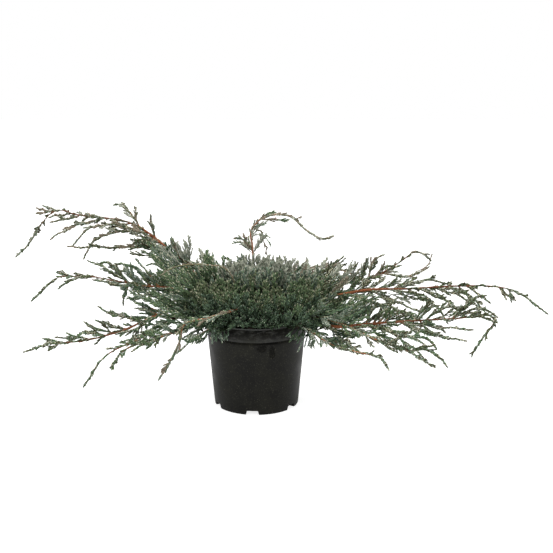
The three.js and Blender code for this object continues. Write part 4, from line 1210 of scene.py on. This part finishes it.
class JUNIPER_OT_pot(bpy.types.Operator):
    """Models the nursery pot: turned wall, band, lip, foot notches and label slot"""
    bl_idname = "juniper.pot"
    bl_label = "Pot"

    def execute(self, context):
        size = context.scene.juniper_pot
        height, rim, base = size.height / MM, size.rim_radius / MM, size.base_radius / MM
        foot = height - size.band_height / MM
        under = rim - size.band_proud / MM
        wall = size.wall / MM
        rings = [
            (base * 0.55, 0), (base - 2.2, 0), (base - 0.8, 0.4), (base - 0.2, 1.4), (base, 3),
            (base + (under - base) * 0.33, foot * 0.33), (base + (under - base) * 0.66, foot * 0.66),
            (under - 0.1, foot - 1.2), (under, foot - 0.6), (rim - 1.0, foot - 0.1), (rim - 0.4, foot + 0.6),
            (rim - 0.3, foot + 1.8), (rim - 0.1, height - 3.0), (rim, height - 1.6),
            (rim - 0.2, height - 0.6), (rim - 0.9, height), (rim - wall + 0.4, height),
            (rim - wall, height - 0.8), (rim - wall - 0.2, foot + 2), (under - wall, foot - 2),
            (base - wall + (under - base) * 0.5, foot * 0.5), (base - wall + 0.3, 6),
            (base - wall - 1.5, 3.2), (base * 0.55, 3),
        ]
        pot = raise_rings(rings, 192, "pot_shell")
        for i in range(6):
            self.cut_notch(pot, size, size.first_notch + i * math.pi / 3)
        slot = (0.0024, 0.021, 0.0020)
        cut_with(pot, cutting_block(size.rim_radius, size.height - 0.0065, size.label_slot, slot))
        only(pot)
        bpy.ops.object.shade_smooth_by_angle(angle=math.radians(28))
        hand_over(pot, pot_material(), ["pot"])
        return {"FINISHED"}

    def cut_notch(self, pot, size, heading):
        """Cuts one foot notch, which is narrower at its top and has rounded corners."""
        depth, raised = 0.036, 0.004
        block = cutting_block(size.base_radius + 0.010 - depth / 2, raised, heading,
                              (depth, size.notch_width, 2 * (size.notch_height - raised)))
        edit_only(block, "vertices", lambda vertex: vertex.co.z > 0)
        middle = tuple(block.location)
        bpy.ops.transform.resize(value=(1, 0.8, 1), orient_type="LOCAL", center_override=middle)
        bpy.ops.mesh.bevel(offset=0.0016, segments=3)
        bpy.ops.object.mode_set(mode="OBJECT")
        cut_with(pot, block)


class JUNIPER_OT_soil(bpy.types.Operator):
    """Models the potting mix: a turned body with a rough top"""
    bl_idname = "juniper.soil"
    bl_label = "Soil"

    def execute(self, context):
        low, high = SOIL_BOX
        foot, top, outer = low[2] / MM, high[2] / MM, high[1] / MM
        wall = outer - 0.6
        rings = [(20, foot), (57, foot), (66, foot + 9), (94, foot + 9), (wall, 173), (wall, 180)]
        rings += [(r, top - 4 * max(0, (r - 30) / (outer - 30))) for r in np.linspace(outer - 6, 26, 14)]
        rings += [(r, top) for r in (22, 14, 6)]
        soil = raise_rings(rings, 96, "soil_crumbs")
        texture = bpy.data.textures.new("crumbs", "CLOUDS")
        texture.noise_scale = 0.006
        group = soil.vertex_groups.new(name="top")
        rough = [v.index for v in soil.data.vertices
                 if v.co.z > 0.178 and 0.024 < v.co.xy.length < (outer - 3) * MM]
        group.add(rough, 1.0, "REPLACE")
        modified(soil, "DISPLACE", texture=texture, strength=0.004, mid_level=0.62, vertex_group=group.name)
        hand_over(soil, soil_material(), ["soil"])
        return {"FINISHED"}


class JUNIPER_OT_bark(bpy.types.Operator):
    """Models the trunk and the boughs with their bark's relief"""
    bl_idname = "juniper.bark"
    bl_label = "Trunk and boughs"

    def execute(self, context):
        self.add_trunk()
        boughs, _, _ = grow_limbs()
        dried = boughs.pop("front_left")
        # The boughs' bark is much darker than the trunk's: painted shade inside the crown
        limb_piece("bough_bark", [(route, BOUGH_BASE, BOUGH_END) for route in boughs.values()], 10,
                   bark_material("brown_bough_bark", (28, 22, 16), (56, 42, 30)),
                   [f"bough_{name}" for name in boughs], relief=0.0007)
        limb_piece("dried_bough_bark", [(dried, DRIED_BOUGH, DRIED_BOUGH)], 10, young_bark(),
                   ["bough_front_left"], relief=0.0007)
        return {"FINISHED"}

    def add_trunk(self):
        """A cylinder cut into rings, which take the trunk's lean, its flare and ridges of bark."""
        foot = TRUNK_BOX[0][2] / MM
        bpy.ops.mesh.primitive_cylinder_add(vertices=40, radius=1, depth=1, end_fill_type="NGON")
        trunk = bpy.context.active_object
        trunk.name = "trunk_bark"
        points = trunk.data.vertices
        edit_only(trunk, "edges", lambda edge: points[edge.vertices[0]].co.z != points[edge.vertices[1]].co.z)
        bpy.ops.mesh.select_mode(type="EDGE")
        bpy.ops.mesh.subdivide_edgering(number_cuts=38)
        bpy.ops.object.mode_set(mode="OBJECT")
        for vertex in trunk.data.vertices:
            height = foot + (vertex.co.z + 0.5) * (TRUNK_TOP - foot)
            angle = math.atan2(vertex.co.y, vertex.co.x)
            ridges = 0.05 * math.sin(5 * angle + height * 0.05) + 0.03 * math.sin(13 * angle - height * 0.09)
            outward = polar(math.degrees(angle), trunk_radius(height) * (0.95 + ridges), 0)
            vertex.co = Vector(trunk_centre(height) + outward) * MM
        add_relief(trunk, 0.004, 0.0010)
        bpy.ops.object.shade_smooth()
        bark = bark_material("old_bark", (58, 44, 36), (122, 98, 80), 260.0, 0.0012)
        hand_over(trunk, bark, ["trunk"])


def brown_cords(rows, tint):
    """Which cords show young brown bark: far out, those high, low or far left; at the right, high ones."""
    x, y, z = rows[:, :3].T
    far_out = np.hypot(x, y) > BROWN_REACH
    brown = far_out & ((z > BROWN_HIGH) & (y > BROWN_DEPTH) | (x > BROWN_REACH) & (z > BROWN_MIDDLE))
    brown |= far_out & ((z < BROWN_MIDDLE) | (x < BROWN_LEFT)) & (tint != GREEN)
    brown |= (x > BROWN_RIGHT) & (z > BROWN_RIGHT_HIGH)
    return brown & (tint not in (SILVER, TAN))


def needle_pieces(kind, cords, nodes):
    """The needles and cord bodies of one part of the plant, joined by tint into pieces."""
    settings = bpy.context.scene.juniper_foliage
    palette = needle_palette()
    rng = np.random.RandomState(NEEDLE_SEEDS[kind])
    rows, tints = np.array(cords.rows, float), np.array(cords.tints)
    owner, share, point, along, radial = needle_places(rows, settings.needle_spacing / MM, rng)
    tint = tints[owner]
    is_long = rows[owner, 9] > SHORT_CORD
    at_tip = (share > 0.6) & (rows[owner, 9] < SHORT_CORD)
    at_tip &= rng.random_sample(len(owner)) < TIP_SHARES[kind]
    at_tip &= ~np.isin(tint, (SILVER, SHADE, TAN))
    tint = np.where(at_tip, np.where(tint == DEEP, BLUE, TIP), tint)
    # On the crown, the base of long cords takes the shade tint and the base of short ones a darker tint:
    # painted shade between the plumes
    if kind == "cushion":
        tint = np.where((share < 0.4) & is_long, SHADE, tint)
        tint = np.where((share < 0.45) & ~is_long, PAINTED_SHADE_TINT[tint], tint)
    # A lighter tint on a cord's upper side, partly bloom and partly painted light, and a darker one on its
    # underside as painted shade
    tint = np.where(radial[:, 2] > 0.4, BLOOM_AND_PAINTED_LIGHT_TINT[tint], np.where(radial[:, 2] < -0.3, PAINTED_SHADE_TINT[tint], tint))
    jitter = rng.random_sample((3, len(owner)))
    length = settings.needle_length / MM * (0.8 + 0.4 * jitter[0])
    width = settings.needle_width / MM * (0.85 + 0.3 * jitter[1])
    lean = settings.needle_lean * (0.6 + 0.8 * jitter[2])
    keep = (tint != SHADE) | (np.arange(len(owner)) % 2 == 0)
    for k, name in enumerate(TINTS):
        mine = np.flatnonzero((tint == k) & keep)
        for part, chunk in enumerate(np.array_split(mine, max(1, math.ceil(len(mine) / PIECE_NEEDLES)))):
            if len(chunk):
                suffix = f"_{part + 1}" if part else ""
                arrays = needles(*(values[chunk] for values in (point, along, radial, length, width, lean)))
                piece = mesh_piece(f"{kind}_needles_{name}{suffix}", *arrays)
                hand_over(piece, palette[name], nodes)
    for k, name in enumerate(TINTS):
        is_brown = brown_cords(rows, k)
        for which, finish in ((~is_brown, name + "_cord"), (is_brown, "brown_cord")):
            mine = rows[(tints == k) & which]
            if len(mine):
                piece = mesh_piece(f"{kind}_{finish}s_{name}", *cord_cores(mine), smooth=True)
                hand_over(piece, palette[finish], nodes)


@functools.cache
def needle_palette():
    """One material for each tint of needles and a darker one, painted shade, for the cords under them, made
    once.
    """
    settings = bpy.context.scene.juniper_foliage
    palette = {"brown_cord": needle_material("brown_cords", np.array(settings.brown_cord[:3]))}
    for name in TINTS:
        color = np.array(getattr(settings, name)[:3])
        palette[name] = needle_material(f"{name}_needles", color)
        palette[name + "_cord"] = needle_material(f"{name}_cords", color * settings.cord_tone)
    return palette


class JUNIPER_OT_shoots(bpy.types.Operator):
    """Grows the long shoots: red-brown stems, side shoots and their sprays of needles"""
    bl_idname = "juniper.shoots"
    bl_label = "Long shoots"

    def execute(self, context):
        boughs, shoots, sides = grow_limbs()
        nodes = [f"shoot_{name}" for name in shoots]
        small = [bent_route(np.array(shoot[:3], float), *shoot[3:]) for shoot in SMALL_SHOOTS]
        whips = [smooth_route(places) for places in WHIPS]
        routes = []
        for name, route in shoots.items():
            inside = boughs[name][-6:-1] if name in SHOWN_INSIDE else route[:0]
            if name != "top":
                routes.append((np.concatenate([inside, route]), STEMS.get(name, BOUGH_END), SHOOT_TIP))
        for group in (*sides.values(), small):
            routes += [(route, SIDE_SHOOT_BASE, SHOOT_TIP) for route in group]
        routes.append((whips[1], WHIP_BASES[1], SHOOT_TIP))
        limb_piece("shoot_stems", routes, 8, young_bark(), nodes, relief=0.0005)
        dried = bark_material("dried_bark", (74, 64, 44), (132, 118, 90), relief=0.0004)
        limb_piece("whip_stem", [(whips[0], WHIP_BASES[0], SHOOT_TIP)], 8, dried, nodes)
        pale = bark_material("pale_young_bark", (104, 76, 62), (178, 134, 110), relief=0.0005)
        top = np.concatenate([shoots["top"], *sides["top"]])
        twigs = twig_routes(tuft_twigs(TOP_SHOOT_TUFTS, top, TOP_TWIG))
        limb_piece("top_stem", [(shoots["top"], BOUGH_END, SHOOT_TIP), *twigs], 8, pale, nodes)
        cords = Cords()
        for i, (name, shoot) in enumerate(shoots.items()):
            grow_shoot(cords, name, boughs[name], shoot, sides[name], dice(SHOOT_SEED + i))
        roll = dice(TOP_SEED)
        for tuft in TOP_SHOOT_TUFTS:
            grow_tuft(cords, tuft, roll)
        for route in small:
            grow_side(cords, route, roll, shoot_tint)
        for route in whips:
            grow_knots(cords, route, roll, whip_tint, first=1, step=5, size=9, clad_from=2,
                       width=WHIP_KNOT_WIDTH)
        needle_pieces("shoot", cords, nodes)
        return {"FINISHED"}


class JUNIPER_OT_cushions(bpy.types.Operator):
    """Grows the crown's dense cushions: brown twigs and sprays of needles"""
    bl_idname = "juniper.cushions"
    bl_label = "Crown cushions"

    def execute(self, context):
        centres = [polar(heading, reach, middle) for _, heading, reach, middle, _ in CUSHIONS]
        nodes = [f"cushion_{name}" for name, *_ in CUSHIONS]
        cords, twigs, routes = Cords(), [], []
        for i, (_, heading, _, _, leaves) in enumerate(CUSHIONS):
            grow_cushion(cords, twigs, i, centres, dice(CUSHION_SEED + i))
            start = limb_start(heading, leaves, CUSHION_STEM)
            routes.append((np.linspace(start, centres[i], 12), CUSHION_STEM, CUSHION_STEM_END))
        boughs, shoots, sides = grow_limbs()
        limbs = [*boughs.values(), *shoots.values()]
        for group in sides.values():
            limbs += group
        tufts = CROWN_TUFTS + SIDE_TUFTS + RIM_TUFTS
        twigs += tuft_twigs(tufts, np.concatenate(limbs), TUFT_TWIG)
        # The twigs' bark is painted dark: painted shade inside the crown
        limb_piece("cushion_twigs", routes + twig_routes(twigs), 4,
                   bark_material("inner_bark", (24, 20, 14), (50, 40, 28)), nodes)
        roll = dice(TUFT_SEED)
        for tuft in tufts:
            grow_tuft(cords, tuft, roll)
        needle_pieces("cushion", cords, nodes)
        return {"FINISHED"}


class JUNIPER_OT_stage(bpy.types.Operator):
    """Sets the pale floor, the soft light and the camera"""
    bl_idname = "juniper.stage"
    bl_label = "Stage"

    def execute(self, context):
        scene = context.scene
        settings = scene.juniper_stage
        bpy.ops.mesh.primitive_plane_add(size=30, location=(0, 0, 0))
        floor = context.active_object
        floor.name = "floor"
        white = (1.0, 1.0, 1.0, 1.0)
        shader = Shader("pale_floor")
        floor.data.materials.append(shader.surface((0.4, 0.4, 0.4, 1.0), 0.9, 0.0))
        shader.fill(shader.tree.nodes["Principled BSDF"], {"Emission Color": white, "Emission Strength": 0.8})

        world = bpy.data.worlds.new("white_studio")
        world.use_nodes = True
        world.node_tree.nodes["Background"].inputs["Color"].default_value = white
        world.node_tree.nodes["Background"].inputs["Strength"].default_value = 1.0
        scene.world = world
        scene.view_settings.view_transform = "Standard"
        scene.view_settings.look = "None"

        self.sun("top_light", (0.1, 0.25, 1.0), 4.2, 14)
        self.sun("front_light", (-0.5, -0.9, 0.7), 1.0, 60)

        camera = bpy.data.objects.new("camera", bpy.data.cameras.new("camera"))
        scene.collection.objects.link(camera)
        camera.location = settings.camera_place
        camera.rotation_euler = (math.pi / 2 - settings.camera_tilt, 0, 0)
        camera.data.sensor_width = 36
        camera.data.lens = settings.lens
        scene.camera = camera
        return {"FINISHED"}

    def sun(self, name, towards, strength, spread):
        """Soft parallel light, which lights the whole floor evenly."""
        data = bpy.data.lights.new(name, "SUN")
        data.energy = strength
        data.angle = math.radians(spread)
        light = bpy.data.objects.new(name, data)
        light.rotation_euler = Vector(towards).to_track_quat("Z", "Y").to_euler()
        bpy.context.scene.collection.objects.link(light)


OPERATORS = (JUNIPER_OT_pot, JUNIPER_OT_soil, JUNIPER_OT_bark, JUNIPER_OT_shoots, JUNIPER_OT_cushions,
             JUNIPER_OT_stage)
SETTINGS = {"juniper_pot": PotSettings, "juniper_foliage": FoliageSettings, "juniper_stage": StageSettings}


class JUNIPER_PT_panel(bpy.types.Panel):
    """Lists the juniper's sizes and the operators that make its pieces"""
    bl_idname = "JUNIPER_PT_panel"
    bl_label = "Potted juniper"
    bl_space_type = "VIEW_3D"
    bl_region_type = "UI"
    bl_category = "Juniper"

    def draw(self, context):
        for name, settings in SETTINGS.items():
            box = self.layout.box()
            for setting in settings.__annotations__:
                box.prop(getattr(context.scene, name), setting)
        for operator in OPERATORS:
            self.layout.operator(operator.bl_idname)


CLASSES = (*SETTINGS.values(), *OPERATORS, JUNIPER_PT_panel)


def register():
    for item in CLASSES:
        bpy.utils.register_class(item)
    for name, settings in SETTINGS.items():
        setattr(bpy.types.Scene, name, bpy.props.PointerProperty(type=settings))


def unregister():
    for name in SETTINGS:
        delattr(bpy.types.Scene, name)
    for item in reversed(CLASSES):
        bpy.utils.unregister_class(item)


def main():
    register()
    bpy.ops.juniper.pot()
    bpy.ops.juniper.soil()
    bpy.ops.juniper.bark()
    bpy.ops.juniper.shoots()
    bpy.ops.juniper.cushions()
    bpy.ops.juniper.stage()


if __name__ == "__main__":
    main()
